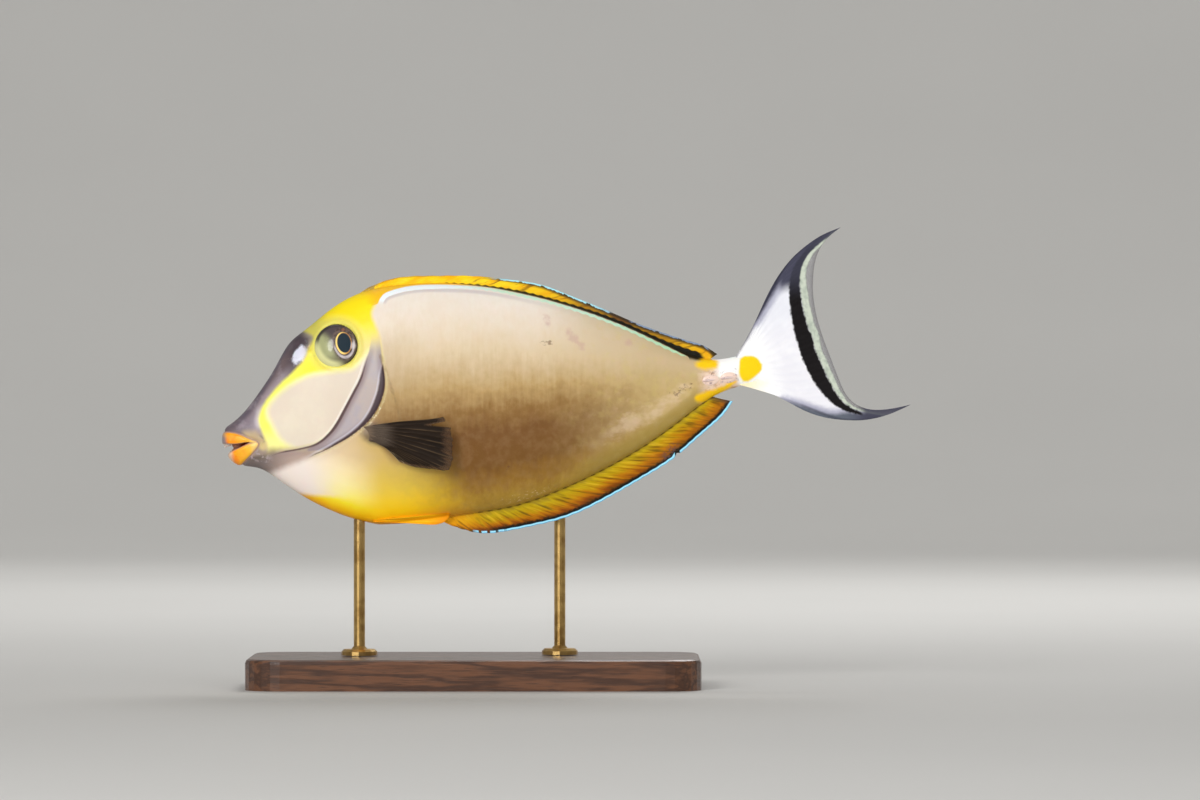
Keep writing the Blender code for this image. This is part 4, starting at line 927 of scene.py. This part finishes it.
def median_fin(name, base, height, places, counts, lean, way, material, ribbing):
    """Dorsal or anal fin: rays set along the body's edge lean back to the margin, with membrane in between.

    The phase counts spines and rays. Thickness is the membrane's plus a bell at each whole phase, forked
    outwards. Way is 1 upwards and -1 downwards, and ribbing is how far the rays stand out.
    """
    spines, rays = counts
    phase = np.linspace(0, spines + rays, (spines + rays) * COLUMNS_PER_RAY + 1)
    root_s = np.interp(phase, [0, spines, spines + rays], places)
    tip_s = root_s + np.interp(root_s, *np.transpose(lean))
    notch = np.where(phase < spines, 0.05, 0.018) * (1 - ridges(phase, 0.38))
    tall = np.maximum(spline(height, tip_s), 0.35) * (1 - notch)
    tall = tall - (way < 0) * NICK_DEPTH * bell(tip_s - NICK_S, 0.8)
    tip_h = spline(base, np.minimum(tip_s, BODY_END)) + way * tall
    root_h = spline(base, root_s) - way * FIN_SINK
    down = np.linspace(0, 1, 25)[None, :]
    s = root_s[:, None] + (tip_s - root_s)[:, None] * down
    h = root_h[:, None] + (tip_h - root_h)[:, None] * down**0.8
    waver = 0.3 * np.sin(root_s / 5.0)[:, None] * down**2
    whole, forked = ridges(phase, 0.17)[:, None], ridges(phase * 2 - 0.5, 0.3)[:, None]
    fork = rise(down, 0.4, 0.7)
    spine = (phase < spines)[:, None]
    ray = np.where(spine, whole * 0.36, whole * 0.2 * (1 - fork) + forked * 0.1 * fork) * ribbing
    margin = nearest(s, h, np.stack([tip_s, tip_h], 1)[::5])[0]
    membrane = 0.16 + 0.05 * (1 - down) + 0.6 * (1 - down) ** 3 + 0.14 * bell(margin - 0.5, 0.5)
    fields = {
        "down": down,
        "phase": phase[:, None],
        "along": s,
        "from_margin": margin,
        "from_body": way * (h - spline(base, s)),
    }
    middle = np.stack([s, waver, h], axis=-1)
    slab(name, middle, membrane + ray * (1 - 0.5 * down), fields, material, "yellow_fin", name)


def ray_wave(phase):
    """1 on a ray and 0 midway to the next."""
    return (phase * TURN + math.pi / 2).wave() * 0.5 + 0.5


def dorsal_paint():
    """Golden strips over a black base stripe that widens to the rear, with a thin broken blue margin."""
    p = Paint("dorsal_membrane", Roughness=0.5, Specular_IOR_Level=0.2)
    along, margin, body, phase = (p.field(name) for name in ("along", "from_margin", "from_body", "phase"))
    down, grain = p.field("down"), p.noise(1.4, 3)
    swoosh = p.along_rays(phase * 0.8, down * 1.1 + phase * 0.25)
    dark = p.along_rays(phase * 1.1 + 5, down * 0.9 + phase * 0.3)
    gap = p.near(along, 160.5, 4.6, 2.6)
    stripe = p.step(along, 94, 130, 0.1, 0.5) + p.step(along, 130, 160) * 0.2 + p.step(along, 168, 188) * 1.4
    black = p.step(body - stripe + (along * 2.1).wave() * 0.16, 0.3, -0.2)
    black = black * p.step(along, 90, 97) * p.step(along + body * 0.5, 191.5, 189.5)
    blue = p.mix((170, 228, 238), (134, 152, 176), p.step(along, 148, 162))
    broken = (grain - 0.5) + p.step((along * 0.75).wave(), -0.75, -0.95) * 0.4
    edge = p.step(margin + broken, 0.75, 0.45) * p.step(along, 110, 120) * (1 - gap)
    p.feed("Base Color", p.layers(
        p.mix((250, 186, 8), (255, 214, 28), p.step(swoosh, 0.36, 0.6)),
        ((214, 150, 14), 0.6, (along, 110, 150)),
        ((138, 94, 18), 0.75, (along, 134, 150), (along, 188, 174)),
        ((120, 78, 10), 0.7, (dark, 0.54, 0.66), (along, 84, 104)),
        ((150, 104, 20), 0.5, (margin, 0.7, 0.2), (along, 112, 84)),
        ((96, 72, 30), 0.8, (margin, 1.9, 1.1), (along, 112, 140)),
        ((110, 70, 34), 0.8, gap),
        (p.mix((52, 46, 16), (24, 22, 10), p.step(along, 120, 165)), 1, black),
        ((40, 38, 30), 0.8, (margin, 1.2, 0.7), (along, 104, 118)),
        ((56, 46, 28), 0.85, (along, 192.6, 194.4)),
        ((124, 114, 86), 0.7, (along, 70, 66), (grain, 0.4, 0.56)),
        (blue, 1, edge, (along, 193.5, 191.5)),
    ))
    p.relief(p.noise(0.8, 3), 0.04)
    return p.material


def anal_paint():
    """Olive-yellow, orange-brown outwards, with slanted dark streaks and a dark and a blue margin."""
    p = Paint("anal_membrane", Roughness=0.5, Specular_IOR_Level=0.15)
    along, margin, body, phase = (p.field(name) for name in ("along", "from_margin", "from_body", "phase"))
    down, grain, cloud = p.field("down"), p.noise(1.2, 3), p.noise(7, 3)
    long, short = p.along_rays(phase * 1.9, down * 1.6), p.along_rays(phase * 2.4 + 7, down * 1.5)
    dots = p.step(body + (grain - 0.5) * 0.5, 0.75, 0.25) * p.step(ray_wave(phase), 0.2, 0.8)
    torn = p.near(along, 172.5, 5.0, 1.5) * p.step(margin, 5.5, 2.5) * p.step(margin, 0.9, 1.6)
    blue = p.mix((166, 232, 255), (104, 190, 240), p.near(margin, 0.5, 0.1, 0.45))
    beads = (p.step((along * 1.9).wave(), -0.7, -0.2) + p.step(along, 100, 108)).smaller(1)
    edge = p.step(margin, 1.0, 0.72) * p.step(along, 91, 95) * (1 - p.near(along, NICK_S, 1.3, 0.8))
    p.feed("Base Color", p.layers(
        p.ramp(down + (long - 0.5) * 0.55 + (cloud - 0.5) * 0.15, *ANAL_RAMP),
        ((246, 166, 16), 0.8, (along + down * 8, 104, 84)),
        ((186, 118, 8), 0.35, (along, 150, 174), (down, 0.2, 0.4)),
        ((84, 60, 8), 0.72, (short, 0.48, 0.68), (down, 0.12, 0.4)),
        ((232, 190, 44), 0.45, (short, 0.44, 0.32), (down, 0.7, 0.4)),
        ((84, 64, 22), 0.8, dots, (along, 90, 98)),
        ((110, 84, 26), 0.4, p.near(body, 0.2, 0.4, 0.1)),
        ((24, 22, 12), 1, (margin + (grain - 0.5) * 1.4, 2.5, 1.4), (along, 92, 106)),
        ((98, 68, 62), 0.8, torn, (grain, 0.36, 0.6)),
        ((70, 52, 40), 0.85, (phase, 30.3, 30.9)),
        (blue, 1, edge, beads),
    ))
    p.relief(p.noise(0.8, 3), 0.04)
    return p.material


def tail_paint():
    """White with slate leading edges, a black crescent, a mint band behind it and a clear grey hind edge."""
    p = Paint("tail_membrane", Roughness=0.5, Specular_IOR_Level=0.2)
    names = ("band", "hind", "lead", "behind_band", "phase", "down", "slate", "height", "along")
    band, hind, lead, behind, phase, down, slate, height, along = (p.field(name) for name in names)
    ray, cloud, grain = ray_wave(phase), p.noise(9, 3), p.noise(1.4, 3)
    root, edge = p.field("root_far") + (cloud - 0.5) * 6, lead + (cloud - 0.5) * 1.2
    lobe, below = p.step(height, -13, -18).larger(p.step(height, 6, 16)), p.step(height, 0, -10)
    fade = slate + (grain - 0.5) * 0.8 + below * (0.62 - p.step(along, 236, 252) * 0.55)
    slate_skin = p.mix((70, 70, 88), (98, 104, 116), below * p.step(along, 252, 240))
    mint = p.mix((200, 208, 192), (174, 184, 170), p.step(p.noise(2.6, 3), 0.4, 0.65))
    clear = p.mix((150, 148, 152), (116, 114, 118), p.step(hind, 1.6, 0.3))
    haze = p.step(behind - p.field("mint_wide") + (grain - 0.5) * 0.9, -0.5, 0.5)
    crescent = p.mix((14, 10, 12), (54, 54, 68), p.step(height, 24, 36))
    tip = (p.step(down, 0.84, 0.95) * p.step(lead, 2.8, 1.4)).larger(p.step(along, 247, 251) * below)
    white = p.step(down, 0.2, 0.6) * (p.step(cloud, 0.3, 0.6) * 0.4 + 0.6)
    p.feed("Base Color", p.layers(
        p.mix((255, 255, 255), (236, 235, 241), white),
        ((222, 222, 236), 0.12, (ray, 0.5, 1.0), (down, 0.3, 0.6)),
        ((228, 230, 239), 0.6, (height, 8, 22)),
        ((250, 232, 170), 0.75, (root, 16, 4), (height + root * 0.3, 0.5, -3)),
        ((160, 158, 172), 1, (edge, 2.4, 0.4), lobe, 0.34 + below * 0.16),
        ((138, 136, 148), 0.6, (edge, 1.2, 0.1), (height, 1, 6)),
        ((168, 168, 188), 0.85, (fade, 2.8, 0.2)),
        (slate_skin, 1, (fade, 0.6, -1.6)),
        ((68, 68, 86), 1, (height + (cloud - 0.5) * 4, 27, 33), (band, 5.0, 2.6)),
        ((52, 52, 66), 0.4, (lead, 0.8, 0.2), lobe, (along, 214, 228)),
        (p.mix(mint, clear, haze), 1, (behind, -0.3, 0.3)),
        (crescent, 1, (band + (grain - 0.5) * 1.3, 0.5, -0.4)),
        ((66, 66, 82), 0.9, tip),
        ((255, 216, 12), 1, (p.field("patch") + (grain - 0.5) * 0.6, 0.75, -0.35)),
    ))
    solid = (1 - haze).larger(tip).larger(p.step(behind, 0.3, -0.3))
    p.feed("Alpha", (solid * 0.62 + 0.38).larger(p.step(lead, 1.4, 0.7)))
    p.relief(p.noise(0.9, 3) * 0.5 + ray * 0.5, 0.03)
    return p.material


def tail_fin(material):
    """Ruled from leading edge to leading edge and from root to hind edge, less the part that both share.

    Rays are ridges that fork near the end. The sheet thins outwards and is thicker along its leading edges.
    """
    across = np.linspace(0, 1, TAIL_RAYS * 9 + 1)
    down = np.linspace(0, 1, 111)
    upper, lower = through(TAIL_UPPER_EDGE, down), through(TAIL_LOWER_EDGE, down)
    hind = through(TAIL_HIND_EDGE, across)
    root = np.outer(1 - across, TAIL_ROOT_TOP) + np.outer(across, TAIL_ROOT_LOW)
    u, v = down[None, :, None], across[:, None, None]
    rows = (1 - v) * upper[None] + v * lower[None] + (1 - u) * root[:, None] + u * hind[:, None]
    flat = rows - ((1 - u) * ((1 - v) * upper[0] + v * lower[0]) + u * ((1 - v) * upper[-1] + v * lower[-1]))
    s, h = flat[..., 0], flat[..., 1]
    phase, u = across * TAIL_RAYS, down[None, :]
    forked = (ridges(phase - 0.22, 0.13) + ridges(phase + 0.22, 0.13))[:, None] * rise(u, 0.45, 0.8)
    ray = ridges(phase, 0.24)[:, None] * (1 - rise(u, 0.45, 0.8)) + forked
    leading = np.exp(-np.minimum(across, 1 - across)[:, None] / 0.05)
    thick = 0.2 + 1.5 * (1 - u) ** 2.2 + (ray * 0.12 + leading * 0.4) * (1 - u**4)
    share = np.linspace(0, 1, 70)
    edges = [nearest(s, h, through(e, share))[0] for e in (TAIL_UPPER_EDGE, TAIL_LOWER_EDGE, TAIL_HIND_EDGE)]
    fields = {
        "down": u,
        "phase": phase[:, None],
        "height": h,
        "along": s,
        "root_far": np.hypot(s - TAIL_ROOT_TOP[0], h),
        "lead": np.minimum(edges[0], edges[1]),
        "hind": edges[2],
        "band": region(s, h, [*BAND_LEFT, *BAND_RIGHT[::-1]]),
        "behind_band": -region(s, h, [*BAND_RIGHT, *BEHIND_BAND]),
        "mint_wide": spline(MINT_WIDTH, h),
        "slate": np.minimum(region(s, h, SLATE_ABOVE), region(s, h, SLATE_BELOW)),
        "patch": region(s, h, TAIL_PATCH, 1),
    }
    middle = np.stack([s, 0.5 * rise(s, 225, 250) * np.sin(h / 9), h], axis=-1)
    slab("tail_fin", middle, thick, fields, material, "white_fin", "tail_fin_upper", "tail_fin_middle",
         "tail_fin_lower")


def pectoral_paint():
    """Grey-brown stem, then nearly black with faint rays, greyer and half clear at the hind edge."""
    p = Paint("pectoral_membrane", Roughness=0.6, Specular_IOR_Level=0.12)
    down, phase = p.field("down"), p.field("phase")
    ray, smear = ray_wave(phase), p.along_rays(phase * 0.9, down * 2.5)
    outwards = down + (smear - 0.5) * 0.2
    stem = p.mix((122, 104, 88), (86, 74, 64), p.step(outwards, 0.02, 0.14))
    dark = p.step(p.along_rays(phase * 1.6 + 3, down * 2), 0.5, 0.64) * p.step(down, 0.3, 0.5)
    faint = p.step(ray, 0.72, 1.0) * p.step(down, 0.25, 0.5) * p.step(smear, 0.4, 0.62)
    worn = p.step(down + (p.along_rays(phase * 1.3, down * 0.8) - 0.5) * 0.24, 0.87, 0.97)
    low = p.step(phase, 13.2, 15.6) * p.step(down, 0.3, 0.6) * p.step(ray, 0.78, 0.97)
    p.feed("Base Color", p.layers(
        p.mix(stem, (36, 26, 18), p.step(outwards, 0.18, 0.4)),
        ((26, 18, 12), 0.8, dark),
        ((92, 74, 54), 0.6, faint),
        ((100, 76, 58), 0.75, worn, 1 - ray * 0.35),
        ((206, 182, 140), 0.8, low, (smear, 0.36, 0.6)),
    ))
    p.feed("Alpha", 1 - worn * (1 - ray * 0.5) * 0.5)
    p.relief(smear, 0.03)
    return p.material


def pectoral_fin(name, side, material):
    """Fan from root to tips, off the flank: each ray nearly straight, and the first one free at its end."""
    across = np.linspace(0, 1, PECTORAL_RAYS * COLUMNS_PER_RAY + 1)
    phase = across * PECTORAL_RAYS
    root = np.outer(1 - across, PECTORAL_ROOT[0]) + np.outer(across, PECTORAL_ROOT[1])
    tips = through(PECTORAL_TIPS, across)
    free = rise(phase, 0.25, 0.5) * (1 - rise(phase, 0.75, 1.1))
    uneven, scalloped = np.sin(phase.round() * 2.4) * ridges(phase, 0.34), 1 - ridges(phase, 0.34)
    ragged = 0.008 * uneven - 0.008 * scalloped - 0.2 * free
    tips = tips + (tips - root) * ragged[:, None]
    down = np.linspace(-0.12, 1, 57)[None, :, None]
    d = np.clip(down[..., 0], 0, 1)
    bulge = np.interp(across, [0, 0.5, 0.8, 1], [1.1, 0.1, 0.5, 2.0])[:, None] * np.sin(d * math.pi)
    flat = root[:, None] + (tips - root)[:, None] * down + np.array([0, 1.0]) * bulge[..., None]
    flat = flat + np.array([-2.0, 2.0]) * (bell(phase, 0.3)[:, None] * d**5)[..., None]
    s, h = flat[..., 0], flat[..., 1]
    bow = 0.3 * np.sin(d * math.pi) + 0.35 * np.sin(phase[:, None] * 0.9) * d**2
    sunk = 2.6 * rise(-down[..., 0], -0.12, 0.1)
    spread = (s - PECTORAL_ROOT[0][0]) * math.tan(PECTORAL_OUT)
    y = half_width(*root.T)[:, None] + 0.3 + spread + bow - sunk
    thick = 0.16 + ridges(phase, 0.2)[:, None] * 0.2 * (1 - 0.6 * d) + 1.0 * (1 - d) ** 4
    fields = {"down": d, "phase": phase[:, None]}
    slab(name, np.stack([s, side * y, h], axis=-1), thick, fields, material, "dark_fin", name)


def pelvic_paint():
    """Bright orange membrane with paler rays."""
    p = Paint("pelvic_membrane", Roughness=0.5, Specular_IOR_Level=0.2)
    ray = ray_wave(p.field("phase"))
    colour = p.mix((255, 178, 8), (255, 204, 30), ray * 0.5)
    p.feed("Base Color", p.mix(colour, (240, 150, 8), p.step(p.field("down"), 0.7, 1.0)))
    p.relief(p.noise(0.8, 3), 0.04)
    return p.material


def pelvic_fin(name, side, material):
    """A spine and three rays folded flat against the belly, from a short root to a narrow tip."""
    rays = len(PELVIC_TIPS)
    across = np.linspace(0, 1, rays * COLUMNS_PER_RAY + 1)
    phase = across * rays
    root = np.outer(1 - across, PELVIC_ROOT[0]) + np.outer(across, PELVIC_ROOT[1])
    tips = through(PELVIC_TIPS, across)
    down = np.linspace(-0.1, 1, 41)[None, :, None]
    d = np.clip(down[..., 0], 0, 1)
    flat = root[:, None] + (tips - root)[:, None] * down
    s, h = flat[..., 0], flat[..., 1]
    y = np.maximum(half_width(s, h), 3.2) + 0.4 * np.clip(down[..., 0] * 6, -1, 1)
    thick = 0.2 + ridges(phase, 0.24)[:, None] * 0.28 * (1 - 0.6 * d) + 0.5 * (1 - d) ** 4
    fields = {"down": d, "phase": phase[:, None]}
    slab(name, np.stack([s, side * y, h], axis=-1), thick, fields, material, "yellow_fin", name)


def latitudes(rows, columns):
    """Grid of latitudes between the poles and of turns round the axis, for a closed rounded form."""
    lat = np.linspace(0, math.pi, rows + 2)[1:-1]
    return np.meshgrid(lat, np.linspace(0, TURN, columns, endpoint=False), indexing="ij")


def joined(name, shells, fields, material, slot):
    """Closed shells put together as one piece: each a grid with a point at either end, turned outwards."""
    points, faces, start = [], [], 0
    for grid, first, last in shells:
        points.append(np.vstack([grid.reshape(-1, 3), first, last]))
        faces.append(turned_out(points[-1], capped_faces(*grid.shape[:2])) + start)
        start += len(points[-1])
    piece(name, to_world(*np.vstack(points).T), np.vstack(faces), fields, material, slot)


def boxy(wave):
    """A sine or cosine squared up, which turns an ellipse into a box with round corners."""
    return np.sign(wave) * np.abs(wave) ** TOOTH_CORNER


def teeth():
    """Small flat teeth in an arch at the front of each jaw: rounded boxes, narrower at the tip."""
    p = Paint("tooth_enamel", Roughness=0.25, Coat_Weight=0.5, Coat_Roughness=0.08, Subsurface_Weight=0.1,
              Subsurface_Scale=0.001)
    p.feed("Base Color", p.mix((232, 222, 212), (206, 184, 168), p.noise(0.8, 2)))
    a, b = latitudes(10, 16)
    narrow = TOOTH_WIDE * (1 - TOOTH_TAPER * (1 - np.cos(a)) / 2)
    wide = (narrow * boxy(np.cos(b)) * boxy(np.sin(a)))[..., None]
    thick = (TOOTH_THICK * boxy(np.sin(b)) * boxy(np.sin(a)))[..., None]
    shells = []
    for root_h, front_h, side_h, middle in (UPPER_JAW, LOWER_JAW):
        for share in np.linspace(-1, 1, TEETH_IN_JAW):
            turn = share * JAW_TURN
            tip_h = front_h + (side_h - front_h) * abs(share)
            centre = np.array([middle - JAW_REACH * math.cos(turn), JAW_SPREAD * math.sin(turn)])
            along = np.array([math.sin(turn), math.cos(turn)])
            out = np.array([-math.cos(turn), math.sin(turn)])
            tall = root_h + (tip_h - root_h) * (1 - boxy(np.cos(a))) / 2
            grid = np.concatenate([wide * along + thick * out + centre, tall[..., None]], axis=-1)
            shells.append((grid, [*centre, root_h], [*centre, tip_h]))
    joined("teeth", shells, {}, p.material, "lip_skin")


def blades():
    """Two bony plates on each side of the tail stalk, each with a sharp forward-hooked keel."""
    p = Paint("tail_blade", Roughness=0.3, Coat_Weight=0.4, Coat_Roughness=0.1)
    colour = p.mix((244, 216, 200), (238, 214, 210), p.step(p.field("up_blade"), 0.1, 0.7))
    p.feed("Base Color", p.mix(colour, (140, 112, 118), p.step(p.noise(1.9, 3), 0.54, 0.66) * 0.7))
    a, b = latitudes(20, 40)
    t = (1 - np.cos(a)) / 2
    along, up = PLATE_LENGTH / 2 * np.sin(a) * np.cos(b), PLATE_HEIGHT / 2 * np.sin(a) * np.sin(b)
    hook = BLADE_RISE * (1 - t) ** 0.75 * (1 - 0.1 * t)
    reach = BLADE_LENGTH / 2 * (t**0.6) * np.cos(b) - BLADE_LENGTH * BLADE_HOOK * (1 - t)
    thin = BLADE_THICK / 2 * t**0.7 * np.sin(b)
    shells, rises = [], []
    for s0 in BLADES:
        for side in (-1, 1):
            skin_y = float(half_width(s0, BLADE_H))
            y = half_width(s0 + along, BLADE_H + up) + PLATE_RISE * np.cos(a) - PLATE_SINK
            plate = np.stack([s0 + along, side * y, BLADE_H + up], axis=-1)
            ends = [(s0, side * (skin_y + k * PLATE_RISE - PLATE_SINK), BLADE_H) for k in (1, -1)]
            keel = np.stack([s0 + reach, side * (skin_y - BLADE_SINK + hook), BLADE_H + thin], axis=-1)
            point = (s0 - BLADE_LENGTH * BLADE_HOOK, side * (skin_y - BLADE_SINK + BLADE_RISE), BLADE_H)
            foot = (s0, side * (skin_y - BLADE_SINK - 0.1), BLADE_H)
            shells += [(plate, *ends), (keel, point, foot)]
            rises += [np.zeros(a.size + 2), (1 - t).ravel(), [1, 0]]
    joined("tail_blades", shells, {"up_blade": np.concatenate(rises)}, p.material, "flank_skin")


def wood_paint():
    """Dark stained hardwood: long growth rings in two browns, fine pores along the grain and a satin coat."""
    p = Paint("stand_hardwood", Coat_Weight=0.35, Coat_Roughness=0.18)
    ring = p.noise(7, 4, (0.09, 1, 1))
    pore = p.noise(0.5, 3, (0.06, 1, 1))
    bands = (ring * 34).wave() * 0.5 + 0.5
    colour = p.mix((66, 40, 26), (104, 66, 42), bands)
    colour = p.mix(colour, (40, 24, 16), p.step(pore, 0.55, 0.72) * 0.7)
    p.feed("Base Color", colour)
    p.feed("Roughness", p.step(pore, 0.4, 0.7, 0.34, 0.55))
    p.relief(pore * 0.7 + bands * 0.3, 0.06)
    return p.material


def metal_paint():
    """Turned brass: fine marks round the rod and slight tarnish."""
    p = Paint("stand_brass", Metallic=1.0)
    marks, tarnish = p.noise(0.25, 2, (0.2, 0.2, 1)), p.noise(5, 3)
    p.feed("Base Color", p.mix((214, 178, 112), (176, 138, 80), p.step(tarnish, 0.4, 0.7)))
    p.feed("Roughness", 0.22 + marks * 0.18)
    p.relief(marks, 0.02)
    return p.material


def studio():
    """Round pale floor that curves up into a low wall: radius and height follow a line, then an arc."""
    p = Paint("studio_floor", Roughness=0.75)
    p.feed("Base Color", p.mix((212, 211, 208), (205, 204, 201), p.noise(400, 2)))
    flat, arc = np.linspace(0.05, FLOOR_FLAT, 16), np.linspace(0, math.pi / 2, 40)[1:]
    radius = np.concatenate([flat, FLOOR_FLAT + FLOOR_CURVE * np.sin(arc)])[:, None]
    height = np.concatenate([0 * flat, FLOOR_CURVE * (1 - np.cos(arc))])[:, None]
    turn = np.linspace(0, TURN, FLOOR_COLUMNS, endpoint=False)
    grid = np.stack([radius * np.cos(turn), radius * np.sin(turn), height + 0 * turn], axis=-1)
    points = np.vstack([grid.reshape(-1, 3), [[0, 0, 0]]])
    inner = fan(np.arange(FLOOR_COLUMNS), len(points) - 1)
    faces = np.vstack([grid_faces(len(radius), FLOOR_COLUMNS, True), inner])
    surface("studio_floor", points, faces, p.material)

    world = bpy.data.worlds.new("studio_air")
    world.use_nodes = True
    air = world.node_tree.nodes["Background"].inputs
    air["Color"].default_value, air["Strength"].default_value = (1.0, 0.98, 0.95, 1), 0.3
    bpy.context.scene.world = world


def lamp(name, place, aim, size, power, mirrored=True):
    """An oval soft light at a place, turned to face a point; glossy surfaces may or may not mirror it."""
    light = bpy.data.lights.new(name, "AREA")
    light.shape = "ELLIPSE"
    light.size, light.size_y = size
    light.energy = power
    made = bpy.data.objects.new(name, light)
    made.visible_camera, made.visible_glossy = False, mirrored
    bpy.context.scene.collection.objects.link(made)
    turn_to(made, place, aim)


def turn_to(made, place, aim):
    """Puts a light or camera at a place and points it at another."""
    made.location = place
    made.rotation_mode = "QUATERNION"
    made.rotation_quaternion = (Vector(aim) - Vector(place)).to_track_quat("-Z", "Y")


def camera():
    """Level view of the left side, framed as the photograph."""
    lens = bpy.data.cameras.new("camera")
    lens.lens, lens.sensor_width = 200, 36
    made = bpy.data.objects.new("camera", lens)
    bpy.context.scene.collection.objects.link(made)
    x, y, z = VIEW_MIDDLE
    turn_to(made, (x, y - VIEW_WIDTH * lens.lens / lens.sensor_width, z), VIEW_MIDDLE)
    bpy.context.scene.camera = made
    bpy.context.scene.view_settings.view_transform = "Standard"


camera()
studio()
lamp("key", (-0.9, -1.9, 0.95), (0, 0, 0.1), (0.6, 1.3), 23.2)
lamp("fill", (0.9, -2.0, 0.36), (0, 0, 0.1), (1.8, 0.66), 13.5, False)
lamp("low", (-0.25, -1.3, 0.03), (-0.03, 0, 0.08), (1.4, 0.06), 3.2, False)
lamp("rim", (0.3, 1.3, 1.2), (0, 0, 0.11), (0.8, 0.8), 8)
lamp("wall", (0, 1.0, 2.3), (0, 3.8, 0.7), (2.0, 2.0), 34)

skin()
eye = eye_paint()
dark, orange = pectoral_paint(), pelvic_paint()
for word, side in (("left", -1), ("right", 1)):
    eyeball("eye_" + word, side, eye)
    pectoral_fin("pectoral_fin_" + word, side, dark)
    pelvic_fin("pelvic_fin_" + word, side, orange)
median_fin("dorsal_fin", BACK, DORSAL_HEIGHT, DORSAL_PLACES, DORSAL_COUNTS, DORSAL_LEAN,
           1, dorsal_paint(), 0.55)
median_fin("anal_fin", BELLY, ANAL_HEIGHT, ANAL_PLACES, ANAL_COUNTS, ANAL_LEAN,
           -1, anal_paint(), 0.8)
tail_fin(tail_paint())
teeth()
blades()

wood, metal = wood_paint(), metal_paint()
for node, material in (("stand_base", wood), ("stand_rod_front", metal), ("stand_rod_rear", metal)):
    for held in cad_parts[node].material_slots:
        held.material = material
